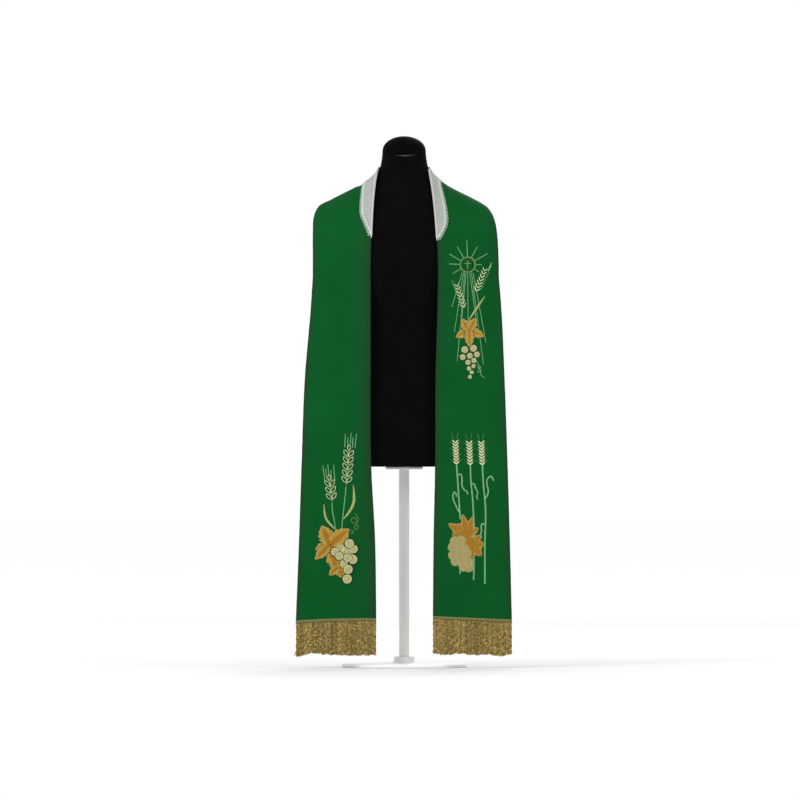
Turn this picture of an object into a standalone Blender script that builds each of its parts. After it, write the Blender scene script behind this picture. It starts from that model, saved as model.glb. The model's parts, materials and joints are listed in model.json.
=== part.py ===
"""Clerical stole laid over the shoulders of a limbless dress form on a stand.

Metres, +Z up. The form faces -Y, so the wearer's right is at -X. The origin is on the
floor, at the centre of the base's underside. The stole is a long band of two panels that
meet at the centre of the back. Each panel runs round the neck, over the shoulder's ridge
and down the front to a fringed hem. A white neck band with a lace edge lies on both.
"""

import itertools
import math

import bmesh
import bpy
import numpy as np
from mathutils import Vector

# Stand
BASE_RADIUS = 0.150
BASE_THICK = 0.010
HUB_RADIUS = 0.024
HUB_HEIGHT = 0.026
HUB_FOOT = 0.010  # how far the hub flares out onto the base
BASE_EDGE = 0.004
STAND_BEVEL = 0.002
POLE_RADIUS = 0.0125
FLANGE_RADIUS = 0.045
FLANGE_THICK = 0.006
GAP = 0.0003  # between pieces that meet

# Dress form: the half sizes of its rings, from the underside up to the rim of the neck
FORM_ROWS = (
    # height, half_width, front, back
    (0.4836, 0.160, 0.100, 0.104),
    (0.4870, 0.1645, 0.1035, 0.108),
    (0.4960, 0.1670, 0.1050, 0.110),
    (0.5600, 0.1705, 0.1080, 0.1150),
    (0.6300, 0.1680, 0.1090, 0.1130),
    (0.7000, 0.1560, 0.1070, 0.1020),
    (0.7700, 0.1440, 0.1045, 0.0900),
    (0.8300, 0.1470, 0.1090, 0.0880),
    (0.8900, 0.1640, 0.1180, 0.0940),
    (0.9400, 0.1840, 0.1240, 0.1020),
    (0.9900, 0.2010, 0.1220, 0.1080),
    (1.0300, 0.2105, 0.1150, 0.1100),
    (1.0550, 0.2130, 0.1090, 0.1090),
    (1.0800, 0.2118, 0.1020, 0.1060),
    (1.0970, 0.2065, 0.0960, 0.1020),
    (1.1075, 0.1985, 0.0920, 0.0990),
    (1.1190, 0.1810, 0.0870, 0.0945),
    (1.1282, 0.1632, 0.0825, 0.0900),
    (1.1378, 0.1440, 0.0780, 0.0855),
    (1.1475, 0.1248, 0.0735, 0.0805),
    (1.1580, 0.1056, 0.0685, 0.0745),
    (1.1715, 0.0864, 0.0635, 0.0670),
    (1.1870, 0.0690, 0.0590, 0.0595),
    (1.2030, 0.0590, 0.0570, 0.0530),
    (1.2220, 0.0545, 0.0560, 0.0490),
    (1.2420, 0.0522, 0.0560, 0.0470),
)
ROUNDNESS = 2.3  # exponent of every ring; 2 is an ellipse
FORM_RINGS = 38
FORM_SIDES = 40
SHOULDER_FROM = 1.08  # height from which the rings narrow towards the neck
NECK_TILT = 0.23  # slope of the neck's rim, lower at the front
NECK_TILT_FROM = 1.17
CAP_HEIGHT = 0.033
CAP_LIP = 0.004
CAP_BEVEL = 0.0008
CAP_GAP = 0.00036
CAP_OVERHANG = 0.0006

# Stole panel: a wall that rests on the form
CLOTH_THICK = 0.0020
CLOTH_GAP = 0.0005
SEAM_GAP = 0.0003
RIDGE_INNER = 0.0605  # half width of the neckline on the shoulder's ridge
RIDGE_OUTER = 0.2175
RIDGE_OUTER_HEIGHT = 1.0800
NAPE_INNER = (0.060, 1.2060)  # y and height of the neckline at the centre of the back
NAPE_OUTER = (0.112, 1.0620)
ARCH = 2.2  # exponent of the arch from the ridge to the chest; 2 is an ellipse
FOOT = 0.940  # height where the arch ends and the cloth hangs
HEM = 0.1212
HEM_SLANT = 0.0084  # how much lower the hem's outer corner is

# The hanging fronts, from the hem up, as distances from the middle plane
RIGHT_FRONT = (
    # height, inner_x, outer_x, inner_y, outer_y, bow, curl
    (0.1212, 0.0667, 0.2597, -0.1270, -0.1090, 0.002, 0.000),
    (0.3000, 0.0695, 0.2525, -0.1280, -0.1085, 0.003, 0.004),
    (0.5000, 0.0797, 0.2457, -0.1280, -0.1050, 0.004, 0.008),
    (0.7000, 0.0805, 0.2380, -0.1270, -0.0980, 0.004, 0.005),
    (0.8700, 0.0800, 0.2235, -0.1250, -0.0860, 0.004, 0.000),
    (0.9400, 0.0800, 0.2190, -0.1220, -0.0790, 0.004, 0.000),
)
LEFT_FRONT = (
    # height, inner_x, outer_x, inner_y, outer_y, bow, curl
    (0.1212, 0.0689, 0.2556, -0.1270, -0.1090, 0.002, 0.002),
    (0.3000, 0.0703, 0.2510, -0.1280, -0.1080, 0.003, 0.000),
    (0.5000, 0.0744, 0.2447, -0.1280, -0.1050, 0.003, 0.003),
    (0.7000, 0.0752, 0.2372, -0.1270, -0.0980, 0.004, 0.000),
    (0.8700, 0.0797, 0.2310, -0.1250, -0.0870, 0.004, 0.000),
    (0.9400, 0.0809, 0.2260, -0.1220, -0.0800, 0.004, 0.000),
)
CURL_SHARE = 0.22  # share of the width over which the inner edge curls back
STATIONS = np.concatenate([np.linspace(-1, 0, 14)[:-1], np.linspace(0, 1, 16)[:-1], np.linspace(1, 2, 13)])
SHARES = np.array([0, 0.07, 0.14, 0.21, 0.29, 0.40, 0.52, 0.64, 0.76, 0.88, 1])

# Neck band and its lace: their outer edge is a share of the panel's width
BAND_THICK = 0.0012
LACE_THICK = 0.0010
LACE_GAP = 0.0006  # its straight scallops span the panel's bends
BAND_OVERHANG = 0.012
BAND_SHARE = (
    # station, share
    (-1.00, 0.290),
    (-0.50, 0.270),
    (0.00, 0.250),
    (0.50, 0.215),
    (0.80, 0.190),
)
BAND_ROUND_FROM = 0.46  # station where the band starts to round off towards its tip
BAND_TIP = 0.80
BAND_END = 0.785
LACE_WIDTH = 0.0070
LACE_LOOPS = 44  # on each side of the centre of the back
LOOP_STEPS = 2
LOOP_DEPTH = 0.28  # share of the lace's width

# Fringe
FRINGE_BOTTOM = 0.0300
HEADING_HEIGHT = 0.0105
HEADING_THICK = 0.0026
HEADING_SET_BACK = -0.0003
STRANDS = 80  # a side
STRAND_WIDTH = 0.0016
STRAND_DEPTH = 0.0015
STRAND_ROOT = 0.004
STRAND_SWAY = 0.0009
STRAND_UNEVEN = 0.002

COLOURS = {
    # name: colour, roughness, metallic
    "jersey_black": ((0.006, 0.006, 0.006), 0.75, 0.0),
    "cap_black": ((0.008, 0.008, 0.008), 0.30, 0.0),
    "stand_white": ((0.80, 0.80, 0.79), 0.40, 0.0),
    "cloth_green": ((0.007, 0.095, 0.024), 0.70, 0.0),
    "band_white": ((0.72, 0.74, 0.71), 0.80, 0.0),
    "fringe_gold": ((0.36, 0.23, 0.06), 0.40, 0.5),
}


def along(rows, place, column):
    """A column of a table at a place in its first column, on a smooth curve through the rows."""
    table = np.array(rows, float)
    places, values = table[:, 0], table[:, column]
    slopes = np.gradient(values, places)
    place = np.clip(place, places[0], places[-1])
    row = np.clip(np.searchsorted(places, place) - 1, 0, len(places) - 2)
    step = places[row + 1] - places[row]
    t = (place - places[row]) / step
    start = (1 + 2 * t) * (1 - t) ** 2 * values[row] + t * (1 - t) ** 2 * step * slopes[row]
    end = t * t * (3 - 2 * t) * values[row + 1] + t * t * (t - 1) * step * slopes[row + 1]
    return start + end


def power(value, exponent):
    return np.maximum(value, 0.0) ** exponent


# ---------------------------------------------------------------- form's surface


def neck_tilt(level):
    """Slope of the ring at a level: none on the body, growing towards the neck's rim."""
    return NECK_TILT * np.clip((level - NECK_TILT_FROM) / (FORM_ROWS[-1][0] - NECK_TILT_FROM), 0, 1)


def form_reach(points):
    """1 on the form's surface, less inside and more outside."""
    x, y, z = points.T
    level = z
    for _ in range(3):
        level = z - neck_tilt(level) * y
    half_width = along(FORM_ROWS, level, 1)
    depth = np.where(y < 0, along(FORM_ROWS, level, 2), along(FORM_ROWS, level, 3))
    return (np.abs(x / half_width) ** ROUNDNESS + np.abs(y / depth) ** ROUNDNESS) ** (1 / ROUNDNESS)


def way_out(points):
    """Distance of each point from the form, less than 0 inside it, and the direction outwards."""
    step = 1e-4
    slope = np.empty_like(points)
    for axis in range(3):
        shift = np.eye(3)[axis] * step
        slope[:, axis] = (form_reach(points + shift) - form_reach(points - shift)) / (2 * step)
    steepness = np.linalg.norm(slope, axis=1)
    return (form_reach(points) - 1) / steepness, slope / steepness[:, None]


def clear_of_form(points):
    """The points, those nearer to the form than the cloth's gap moved out."""
    for _ in range(5):
        distance, outwards = way_out(points)
        points = points + outwards * np.maximum(CLOTH_GAP - distance, 0)[:, None]
    return points


# ---------------------------------------------------------------- cloth's surface


def shoulder_rows():
    """Distance from the middle plane and height of the shoulder's ridge, from the neck outwards."""
    ridge = [(row[1], row[0]) for row in FORM_ROWS if row[0] >= SHOULDER_FROM]
    return [*reversed(ridge[1:]), (RIDGE_OUTER, RIDGE_OUTER_HEIGHT)]


SHOULDER_ROWS = shoulder_rows()


def between(first, last, share):
    return first + (last - first) * share


def panel_points(side, station, across):
    """Points on the underside of a panel.

    Station is -1 at the centre of the back, 0 on the ridge, 1 where the cloth starts to hang
    and 2 at the hem. Across is 0 at the inner edge and 1 at the outer edge.
    """
    rows = LEFT_FRONT if side > 0 else RIGHT_FRONT
    station, across = np.broadcast_arrays(np.asarray(station, float), np.asarray(across, float))
    turn = np.clip(station, -1, 1) * math.pi / 2
    front = station > 0
    ridge_x = between(RIDGE_INNER, RIDGE_OUTER, across)
    ridge_z = along(SHOULDER_ROWS, ridge_x, 1)

    slant = (across - 0.5) * HEM_SLANT
    drop = np.clip(station - 1, 0, 1)
    height = between(FOOT, HEM, drop)
    foot_x = between(along(rows, height, 1), along(rows, height, 2), across)
    foot_y = between(along(rows, height, 3), along(rows, height, 4), across)
    foot_y = foot_y - along(rows, height, 5) * 4 * across * (1 - across)
    foot_y = foot_y + along(rows, height, 6) * power(1 - across / CURL_SHARE, 2)

    arch_sine = power(np.sin(turn), 2 / ARCH)
    arch_cosine = power(np.cos(turn), 2 / ARCH)
    front_x = ridge_x + (foot_x - ridge_x) * np.maximum(np.sin(turn), 0)
    front_y = foot_y * arch_sine
    front_z = np.where(station < 1, FOOT + (ridge_z - FOOT) * arch_cosine, height - slant * drop)

    back = np.maximum(-turn, 0)
    back_y = between(NAPE_INNER[0], NAPE_OUTER[0], across)
    back_z = between(NAPE_INNER[1], NAPE_OUTER[1], across)
    toe_in = back_y * (foot_x - ridge_x) / np.abs(foot_y)  # so that no edge bends on the ridge
    rear_x = ridge_x * np.cos(back) - toe_in * np.sin(2 * back) / 2
    rear_y = back_y * np.sin(back)
    rear_z = between(ridge_z, back_z, np.sin(back) ** 2)

    x = np.where(front, front_x, rear_x)
    y = np.where(front, front_y, rear_y)
    z = np.where(front, front_z, rear_z)
    points = np.stack([x.ravel(), y.ravel(), z.ravel()], axis=1)
    return clear_of_form(points).reshape(*x.shape, 3)


def rest_on_form(grid):
    """Moves a grid's points out until the flat faces between them clear the form too.

    Each face has six pairs of corners, and the middle of each pair is tested.
    """
    for _ in range(12):
        push = np.zeros(grid.shape)
        near, far = slice(0, -1), slice(1, None)
        for pair in itertools.combinations(itertools.product((near, far), (near, far)), 2):
            middles = (grid[pair[0]] + grid[pair[1]]) / 2
            distance, outwards = way_out(middles.reshape(-1, 3))
            short = np.maximum(CLOTH_GAP - distance, 0)[:, None]
            out = (outwards * short).reshape(middles.shape)
            for corner in pair:
                larger = np.linalg.norm(out, axis=2) > np.linalg.norm(push[corner], axis=2)
                push[corner] = np.where(larger[..., None], out, push[corner])
        grid = grid + push
    return grid


def panel_grid(side):
    """A panel's underside as rows of points, from the centre of the back to the hem."""
    points = rest_on_form(panel_points(side, STATIONS[:, None], SHARES[None, :]))
    points[..., 0] = (points[..., 0] + SEAM_GAP / 2) * side
    return points


def grid_normals(grid, side):
    """The direction outwards at each point of a panel's grid."""
    down = np.gradient(grid, axis=0)
    over = np.gradient(grid, axis=1)
    normals = np.cross(down, over) * side
    return normals / np.linalg.norm(normals, axis=2)[..., None]


def on_panel(side, station, share, lift):
    """Points on a panel's own faces, moved out by a lift. A share below 0 is past its inner edge."""
    grid = PANELS[side]
    raised = grid + grid_normals(grid, side) * lift
    row = np.clip(np.searchsorted(STATIONS, station) - 1, 0, len(STATIONS) - 2)
    column = np.clip(np.searchsorted(SHARES, share) - 1, 0, len(SHARES) - 2)
    down = ((station - STATIONS[row]) / (STATIONS[row + 1] - STATIONS[row]))[..., None]
    over = ((share - SHARES[column]) / (SHARES[column + 1] - SHARES[column]))[..., None]
    near = between(raised[row, column], raised[row, column + 1], over)
    far = between(raised[row + 1, column], raised[row + 1, column + 1], over)
    return between(near, far, down)


# ---------------------------------------------------------------- Blender helpers


def clear_scene():
    for old in list(bpy.data.objects):
        bpy.data.objects.remove(old)


def material(name):
    made = bpy.data.materials.get(name)
    if made:
        return made
    colour, roughness, metallic = COLOURS[name]
    made = bpy.data.materials.new(name)
    made.use_nodes = True
    shader = made.node_tree.nodes["Principled BSDF"]
    shader.inputs["Base Color"].default_value = (*colour, 1)
    shader.inputs["Roughness"].default_value = roughness
    shader.inputs["Metallic"].default_value = metallic
    return made


def add(name, mesh_source, finish, collection, smooth=True):
    """A new object from a bmesh, with its material."""
    mesh = bpy.data.meshes.new(name)
    mesh_source.to_mesh(mesh)
    mesh_source.free()
    if smooth:
        mesh.shade_smooth()
        mesh.set_sharp_from_angle(angle=math.radians(40))
    made = bpy.data.objects.new(name, mesh)
    mesh.materials.append(material(finish))
    collection.objects.link(made)
    return made


def new_collection(name):
    made = bpy.data.collections.new(name)
    bpy.context.scene.collection.children.link(made)
    return made


def mapped_grid(rows, columns, place):
    """A grid whose points go where place(down, over) puts them; both run from 0 to 1."""
    grid = bmesh.new()
    bmesh.ops.create_grid(grid, x_segments=rows, y_segments=columns, size=1)
    flat = np.array([v.co for v in grid.verts])
    moved = place((flat[:, 0] + 1) / 2, (flat[:, 1] + 1) / 2)
    for vertex, point in zip(grid.verts, moved):
        vertex.co = point
    return grid


def solidify(made, thickness):
    wall = made.modifiers.new("wall", "SOLIDIFY")
    wall.thickness = thickness
    wall.offset = 1
    wall.use_even_offset = True


def face_outwards(grid, outwards):
    """Turns an open grid so that its faces look the way that outwards(centre) gives."""
    grid.normal_update()
    looks = sum(face.normal.dot(outwards(face.calc_center_median())) for face in grid.faces)
    if looks < 0:
        bmesh.ops.reverse_faces(grid, faces=grid.faces)
        grid.normal_update()


def away_from_form(centre):
    return Vector((centre.x, centre.y, max(0.0, centre.z - 1.0)))


# ---------------------------------------------------------------- dress form and stand


def make_torso(collection):
    levels = np.array([row[0] for row in FORM_ROWS])

    def place(down, over):
        angle = over * 2 * math.pi
        height = np.interp(down * (len(levels) - 1), np.arange(len(levels)), levels)
        cosine, sine = np.cos(angle), np.sin(angle)
        depth = np.where(sine < 0, along(FORM_ROWS, height, 2), along(FORM_ROWS, height, 3))
        x = along(FORM_ROWS, height, 1) * np.sign(cosine) * np.abs(cosine) ** (2 / ROUNDNESS)
        y = depth * np.sign(sine) * np.abs(sine) ** (2 / ROUNDNESS)
        return np.stack([x, y, height + neck_tilt(height) * y], axis=1)

    torso = mapped_grid(FORM_RINGS, FORM_SIDES, place)
    bmesh.ops.remove_doubles(torso, verts=torso.verts, dist=1e-5)
    bmesh.ops.holes_fill(torso, edges=torso.edges, sides=0)
    bmesh.ops.recalc_face_normals(torso, faces=torso.faces)
    add("form_torso", torso, "jersey_black", collection)


def turned(name, profile, finish, collection, steps=40):
    """A solid of revolution about Z from (radius, height) points, top to bottom."""
    line = bmesh.new()
    points = [line.verts.new((radius, 0, height)) for radius, height in profile]
    for first, last in zip(points, points[1:]):
        line.edges.new((first, last))
    made = add(name, line, finish, collection, smooth=False)
    screw = made.modifiers.new("turn", "SCREW")
    screw.steps = steps
    screw.render_steps = steps
    screw.use_merge_vertices = True
    screw.merge_threshold = 0.00001
    return made


def make_cap(collection):
    rim = FORM_ROWS[-1]
    radius = rim[1] + CAP_OVERHANG
    half_depth = (rim[2] + rim[3]) / 2 + CAP_OVERHANG
    dome = [
        (radius * math.sin(turn), CAP_LIP + (CAP_HEIGHT - CAP_LIP) * math.cos(turn))
        for turn in np.linspace(0, math.pi / 2, 9)
    ]
    profile = [*dome, (radius, CAP_BEVEL), (radius - CAP_BEVEL, 0), (0, 0)]
    cap = turned("form_neck_cap", profile, "cap_black", collection, 28)
    centre_y = (rim[3] - rim[2]) / 2
    cap.scale = (1, half_depth / radius, 1)
    cap.rotation_euler.x = math.atan(NECK_TILT)
    cap.location = (0, centre_y, rim[0] + NECK_TILT * centre_y + CAP_GAP)


def make_stand(collection):
    turned(
        "form_base",
        (
            (0, HUB_HEIGHT),
            (HUB_RADIUS - STAND_BEVEL, HUB_HEIGHT),
            (HUB_RADIUS, HUB_HEIGHT - STAND_BEVEL),
            (HUB_RADIUS + STAND_BEVEL, BASE_THICK + STAND_BEVEL),
            (HUB_RADIUS + HUB_FOOT, BASE_THICK),
            (BASE_RADIUS - BASE_EDGE, BASE_THICK - STAND_BEVEL),
            (BASE_RADIUS, BASE_THICK - STAND_BEVEL - BASE_EDGE),
            (BASE_RADIUS, 0),
            (0, 0),
        ),
        "stand_white",
        collection,
    )
    flange_bottom = FORM_ROWS[0][0] - GAP - FLANGE_THICK
    turned(
        "form_flange",
        (
            (0, flange_bottom + FLANGE_THICK),
            (FLANGE_RADIUS, flange_bottom + FLANGE_THICK),
            (FLANGE_RADIUS, flange_bottom + STAND_BEVEL),
            (FLANGE_RADIUS - STAND_BEVEL, flange_bottom),
            (0, flange_bottom),
        ),
        "stand_white",
        collection,
    )
    bottom, top = HUB_HEIGHT + GAP, flange_bottom - GAP
    pole = bmesh.new()
    bmesh.ops.create_cone(
        pole, cap_ends=True, segments=24, radius1=POLE_RADIUS, radius2=POLE_RADIUS, depth=top - bottom
    )
    add("form_pole", pole, "stand_white", collection).location.z = (top + bottom) / 2


# ---------------------------------------------------------------- stole


PANELS = {side: panel_grid(side) for side in (-1, 1)}


def make_panel(side, name, collection):
    def place(down, over):
        row = np.rint(down * (len(STATIONS) - 1)).astype(int)
        column = np.rint(over * (len(SHARES) - 1)).astype(int)
        return PANELS[side][row, column]

    panel = mapped_grid(len(STATIONS) - 1, len(SHARES) - 1, place)
    face_outwards(panel, away_from_form)
    solidify(add(name, panel, "cloth_green", collection), CLOTH_THICK)


def band_share(station):
    """Share of the panel's width that the band and its lace cover."""
    full = along(BAND_SHARE, station, 1)
    rounding = np.clip((station - BAND_ROUND_FROM) / (BAND_TIP - BAND_ROUND_FROM), 0, 1)
    return full * np.sqrt(1 - rounding**2)


def panel_width(side, station):
    """Length of the line across a panel at each station."""
    shares = (0, 0.5, 1)
    inner, middle, outer = (on_panel(side, station, np.full_like(station, share), 0) for share in shares)
    return np.linalg.norm(middle - inner, axis=-1) + np.linalg.norm(outer - middle, axis=-1)


def band_edge(side, station):
    """Share of the panel's width where the band ends and its lace starts."""
    return np.maximum(band_share(station) - LACE_WIDTH / panel_width(side, station), 0.004)


def round_neck(run, stations, share_of, gap):
    """Points of a strip on the panels, from the right tip (0) round the back to the left tip (1)."""
    points = np.empty((len(run), 3))
    for side in (-1, 1):
        here = (run >= 0.5) == (side > 0)
        station = np.interp(np.abs(run[here] * 2 - 1), np.linspace(0, 1, len(stations)), stations)
        points[here] = on_panel(side, station, share_of(side, station, here), CLOTH_THICK + gap)
    return points


def make_band(collection):
    """The band has the panels' own rows and columns, and its outer edge cuts across them."""
    covered = STATIONS[STATIONS < BAND_END]
    rounding = covered[covered > BAND_ROUND_FROM]
    rows = np.sort(np.concatenate([covered, (rounding[1:] + rounding[:-1]) / 2, [BAND_END]]))
    columns = np.array([-BAND_OVERHANG, *SHARES[1:5]])

    def place(down, over):
        def share(side, station, here):
            column = np.rint(over[here] * (len(columns) - 1)).astype(int)
            return np.minimum(columns[column], band_edge(side, station))

        return round_neck(down, rows, share, GAP)

    band = mapped_grid(2 * (len(rows) - 1), len(columns) - 1, place)
    bmesh.ops.remove_doubles(band, verts=band.verts, dist=1e-5)
    face_outwards(band, away_from_form)
    solidify(add("neck_band", band, "band_white", collection), BAND_THICK)


def make_lace(collection):
    loops = 2 * LACE_LOOPS

    def place(down, over):
        def share(side, station, here):
            width = panel_width(side, station)
            bulge = 1 - LOOP_DEPTH * (1 - np.abs(np.sin(down[here] * loops * math.pi)))
            return band_edge(side, station) + (GAP + over[here] * bulge * (LACE_WIDTH - GAP)) / width

        return round_neck(down, np.array([-1, BAND_END]), share, LACE_GAP)

    lace = mapped_grid(loops * LOOP_STEPS, 1, place)
    face_outwards(lace, away_from_form)
    solidify(add("neck_band_lace", lace, "band_white", collection), LACE_THICK)


# ---------------------------------------------------------------- fringe


def hem_points(side, shares, down, lift):
    """Points on the panel's hem carried straight down, and moved out by a lift."""
    points = on_panel(side, np.full_like(shares, STATIONS[-1]), shares, lift)
    points[:, 2] -= down
    return points


def make_heading(side, name, collection):
    def place(down, over):
        return hem_points(side, over, GAP + down * HEADING_HEIGHT, HEADING_SET_BACK)

    heading = mapped_grid(1, len(SHARES) - 1, place)
    face_outwards(heading, lambda centre: Vector((0, -1, 0)))
    made = add(name, heading, "fringe_gold", collection, smooth=False)
    solidify(made, HEADING_THICK)
    return made


def make_strands(side, name, collection):
    """All the strands of one fringe, each a three-sided tapering rod with its root in the heading."""
    strands = bmesh.new()
    shares = (np.arange(STRANDS) + 0.5) / STRANDS
    roots = hem_points(side, shares, GAP + HEADING_HEIGHT - STRAND_ROOT, HEADING_SET_BACK + HEADING_THICK / 2)
    for number, root in enumerate(roots):
        sway = STRAND_SWAY * math.sin(number * 2.4)
        lean = STRAND_SWAY * math.cos(number * 1.7)
        length = root[2] - FRINGE_BOTTOM - STRAND_UNEVEN * (1 + math.sin(number * 5.1)) / 2
        rings = []
        for share, width in ((0.0, 1.0), (0.5, 1.0), (1.0, 0.7)):
            centre = Vector(root) + Vector((sway * share, lean * share * share, -length * share))
            rings.append(
                [
                    strands.verts.new(centre + Vector((dx * STRAND_WIDTH, dy * STRAND_DEPTH, 0)) * width)
                    for dx, dy in ((-0.5, 0.4), (0, -0.6), (0.5, 0.4))
                ]
            )
        for upper, lower in zip(rings, rings[1:]):
            for corner in range(3):
                following = (corner + 1) % 3
                strands.faces.new((upper[corner], lower[corner], lower[following], upper[following]))
        strands.faces.new(rings[0])
        strands.faces.new(reversed(rings[-1]))
    return add(name, strands, "fringe_gold", collection, smooth=False)


def make_fringe(side, name, collection, helpers):
    heading = make_heading(side, name, collection)
    strands = make_strands(side, name + "_strands", helpers)
    strands.hide_render = True
    strands.display_type = "WIRE"
    union = heading.modifiers.new("strands", "BOOLEAN")
    union.operation = "UNION"
    union.solver = "EXACT"
    union.object = strands


def main():
    clear_scene()
    stole = new_collection("clerical_stole_on_dress_form")
    helpers = new_collection("joined_pieces")
    make_torso(stole)
    make_cap(stole)
    make_stand(stole)
    make_panel(-1, "stole_panel_right", stole)
    make_panel(1, "stole_panel_left", stole)
    make_band(stole)
    make_lace(stole)
    make_fringe(-1, "fringe_right", stole, helpers)
    make_fringe(1, "fringe_left", stole, helpers)


main()
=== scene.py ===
# %% [markdown]
# # A clerical stole on a dress form
#
# A stole is a long band of cloth that a priest wears round the neck. This one is two green
# panels, joined at the centre of the back. Each one comes over a shoulder and hangs down the
# front to a gold fringe. A washable white band with a lace edge is tacked round the neck. Ears
# of wheat, vine leaves and grapes are embroidered on both ends and on the left breast. The
# stole lies on a black dress form, and nothing fastens it there.
#
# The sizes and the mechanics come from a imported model, the frame. This script dresses it: each
# plain solid is replaced by a finer piece, or given its finish.

# %% Load the frame
import math

import bmesh
import bpy
import numpy as np
from mathutils import Matrix, Vector
from mathutils.bvhtree import BVHTree
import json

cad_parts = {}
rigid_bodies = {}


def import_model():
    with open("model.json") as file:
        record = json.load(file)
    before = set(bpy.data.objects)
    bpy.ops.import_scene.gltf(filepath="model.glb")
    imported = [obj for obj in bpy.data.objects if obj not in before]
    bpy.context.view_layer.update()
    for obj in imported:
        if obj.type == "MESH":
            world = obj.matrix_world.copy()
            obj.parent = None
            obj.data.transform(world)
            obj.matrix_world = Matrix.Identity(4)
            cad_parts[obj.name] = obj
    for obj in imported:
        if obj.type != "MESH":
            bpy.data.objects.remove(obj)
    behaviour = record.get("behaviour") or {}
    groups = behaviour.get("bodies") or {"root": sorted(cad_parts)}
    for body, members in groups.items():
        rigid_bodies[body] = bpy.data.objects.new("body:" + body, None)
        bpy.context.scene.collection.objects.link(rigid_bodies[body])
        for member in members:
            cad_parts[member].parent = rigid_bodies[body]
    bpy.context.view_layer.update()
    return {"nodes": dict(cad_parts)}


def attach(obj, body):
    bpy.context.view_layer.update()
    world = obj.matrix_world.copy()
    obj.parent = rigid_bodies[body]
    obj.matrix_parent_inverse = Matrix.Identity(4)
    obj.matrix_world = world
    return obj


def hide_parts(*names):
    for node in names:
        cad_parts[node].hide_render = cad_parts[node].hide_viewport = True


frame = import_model()
MM = 0.001
print("nodes:", sorted(frame["nodes"]))

# %% [markdown]
# ## Camera
#
# The stole is seen straight from the front. A long lens, far away, keeps the neck and the hems
# at nearly one scale, as a catalogue picture does. The picture is square, so the width that
# it takes in is also its height, and the lens follows from that width and the distance.

# %% Camera
PICTURE_WIDTH = 1.92
CAMERA_DISTANCE = 25.0
CLOTH_FRONT = -0.12
AIM_X = -0.010
AIM_Z = 0.644

camera_data = bpy.data.cameras.new("camera")
camera_data.lens = camera_data.sensor_width * CAMERA_DISTANCE / PICTURE_WIDTH
camera = bpy.data.objects.new("camera", camera_data)
camera.location = (AIM_X, CLOTH_FRONT - CAMERA_DISTANCE, AIM_Z)
camera.rotation_euler = (math.pi / 2, 0, 0)
bpy.context.scene.collection.objects.link(camera)
bpy.context.scene.camera = camera
print("lens:", round(camera_data.lens, 1), "mm")

# %% [markdown]
# ## Light and floor
#
# The studio is white all round, which gives an even light with soft edges. One large lamp from
# the upper left adds the little modelling that flat cloth needs, a weaker one from the right
# keeps that side open, and one from behind lights the back of the neck. The floor is a pale
# disc, wide enough to be the whole ground.

# %% Light and floor
LAMP_SIZE = 2.0
FLOOR_RADIUS = 30

bpy.context.scene.view_settings.view_transform = "Standard"
world = bpy.data.worlds.new("white_studio")
world.use_nodes = True
world.node_tree.nodes["Background"].inputs["Color"].default_value = (1, 1, 1, 1)
world.node_tree.nodes["Background"].inputs["Strength"].default_value = 1.0
bpy.context.scene.world = world


def soft_lamp(name, place, power):
    """A square lamp that faces the middle of the stole."""
    lamp = bpy.data.lights.new(name, "AREA")
    lamp.size = LAMP_SIZE
    lamp.energy = power
    holder = bpy.data.objects.new(name, lamp)
    holder.location = place
    away = holder.location.copy()
    away.z -= AIM_Z
    holder.rotation_euler = away.to_track_quat("Z", "Y").to_euler()
    bpy.context.scene.collection.objects.link(holder)


soft_lamp("key", (-2.6, -3.0, 2.9), 80)
soft_lamp("side", (3.2, -1.2, 1.6), 15)
soft_lamp("back", (1.0, 3.2, 2.4), 40)

bpy.ops.mesh.primitive_circle_add(vertices=96, radius=FLOOR_RADIUS, fill_type="NGON")
floor = bpy.context.object
floor.name = "floor"
print("floor:", 2 * FLOOR_RADIUS, "m across")

# %% [markdown]
# ## Finishes
#
# Every finish is the Principled shader. A small helper makes it and sets the plain values on
# its sockets. Cloth, jersey, cap and coat also have the fine relief of their stuff, a weave or
# a grain, which is a bump. Thread needs none, as its relief is in its shape. Soft patches, a
# little lighter and darker, keep the surfaces from looking like plastic. A number that a piece
# keeps for each of its points can fade the colour, to paint shade along an edge or in a
# fringe, or a highlight on a rim.

# %% Helper for a finish


def finish(name, colour, roughness, **sockets):
    """A new material with a Principled shader. A socket's spaces are written as _ here."""
    made = bpy.data.materials.new(name)
    made.use_nodes = True
    shader = made.node_tree.nodes["Principled BSDF"]
    shader.inputs["Base Color"].default_value = (*colour, 1)
    shader.inputs["Roughness"].default_value = roughness
    for socket, value in sockets.items():
        shader.inputs[socket.replace("_", " ")].default_value = value
    return made


def node(made, kind, **values):
    """A new node. Values go to its sockets, or to its own settings where it has such a one."""
    added = made.node_tree.nodes.new(kind)
    for key, value in values.items():
        if hasattr(added, key):
            setattr(added, key, value)
        else:
            added.inputs[key.replace("_", " ")].default_value = value
    return added


def wire(made, source, target):
    """Joins an output to an input."""
    made.node_tree.links.new(source, target)


def relief(made, height, strength, depth):
    """Sends a height into the shader as a bump."""
    bump = node(made, "ShaderNodeBump", Strength=strength, Distance=depth)
    wire(made, height, bump.inputs["Height"])
    wire(made, bump.outputs["Normal"], made.node_tree.nodes["Principled BSDF"].inputs["Normal"])


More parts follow.
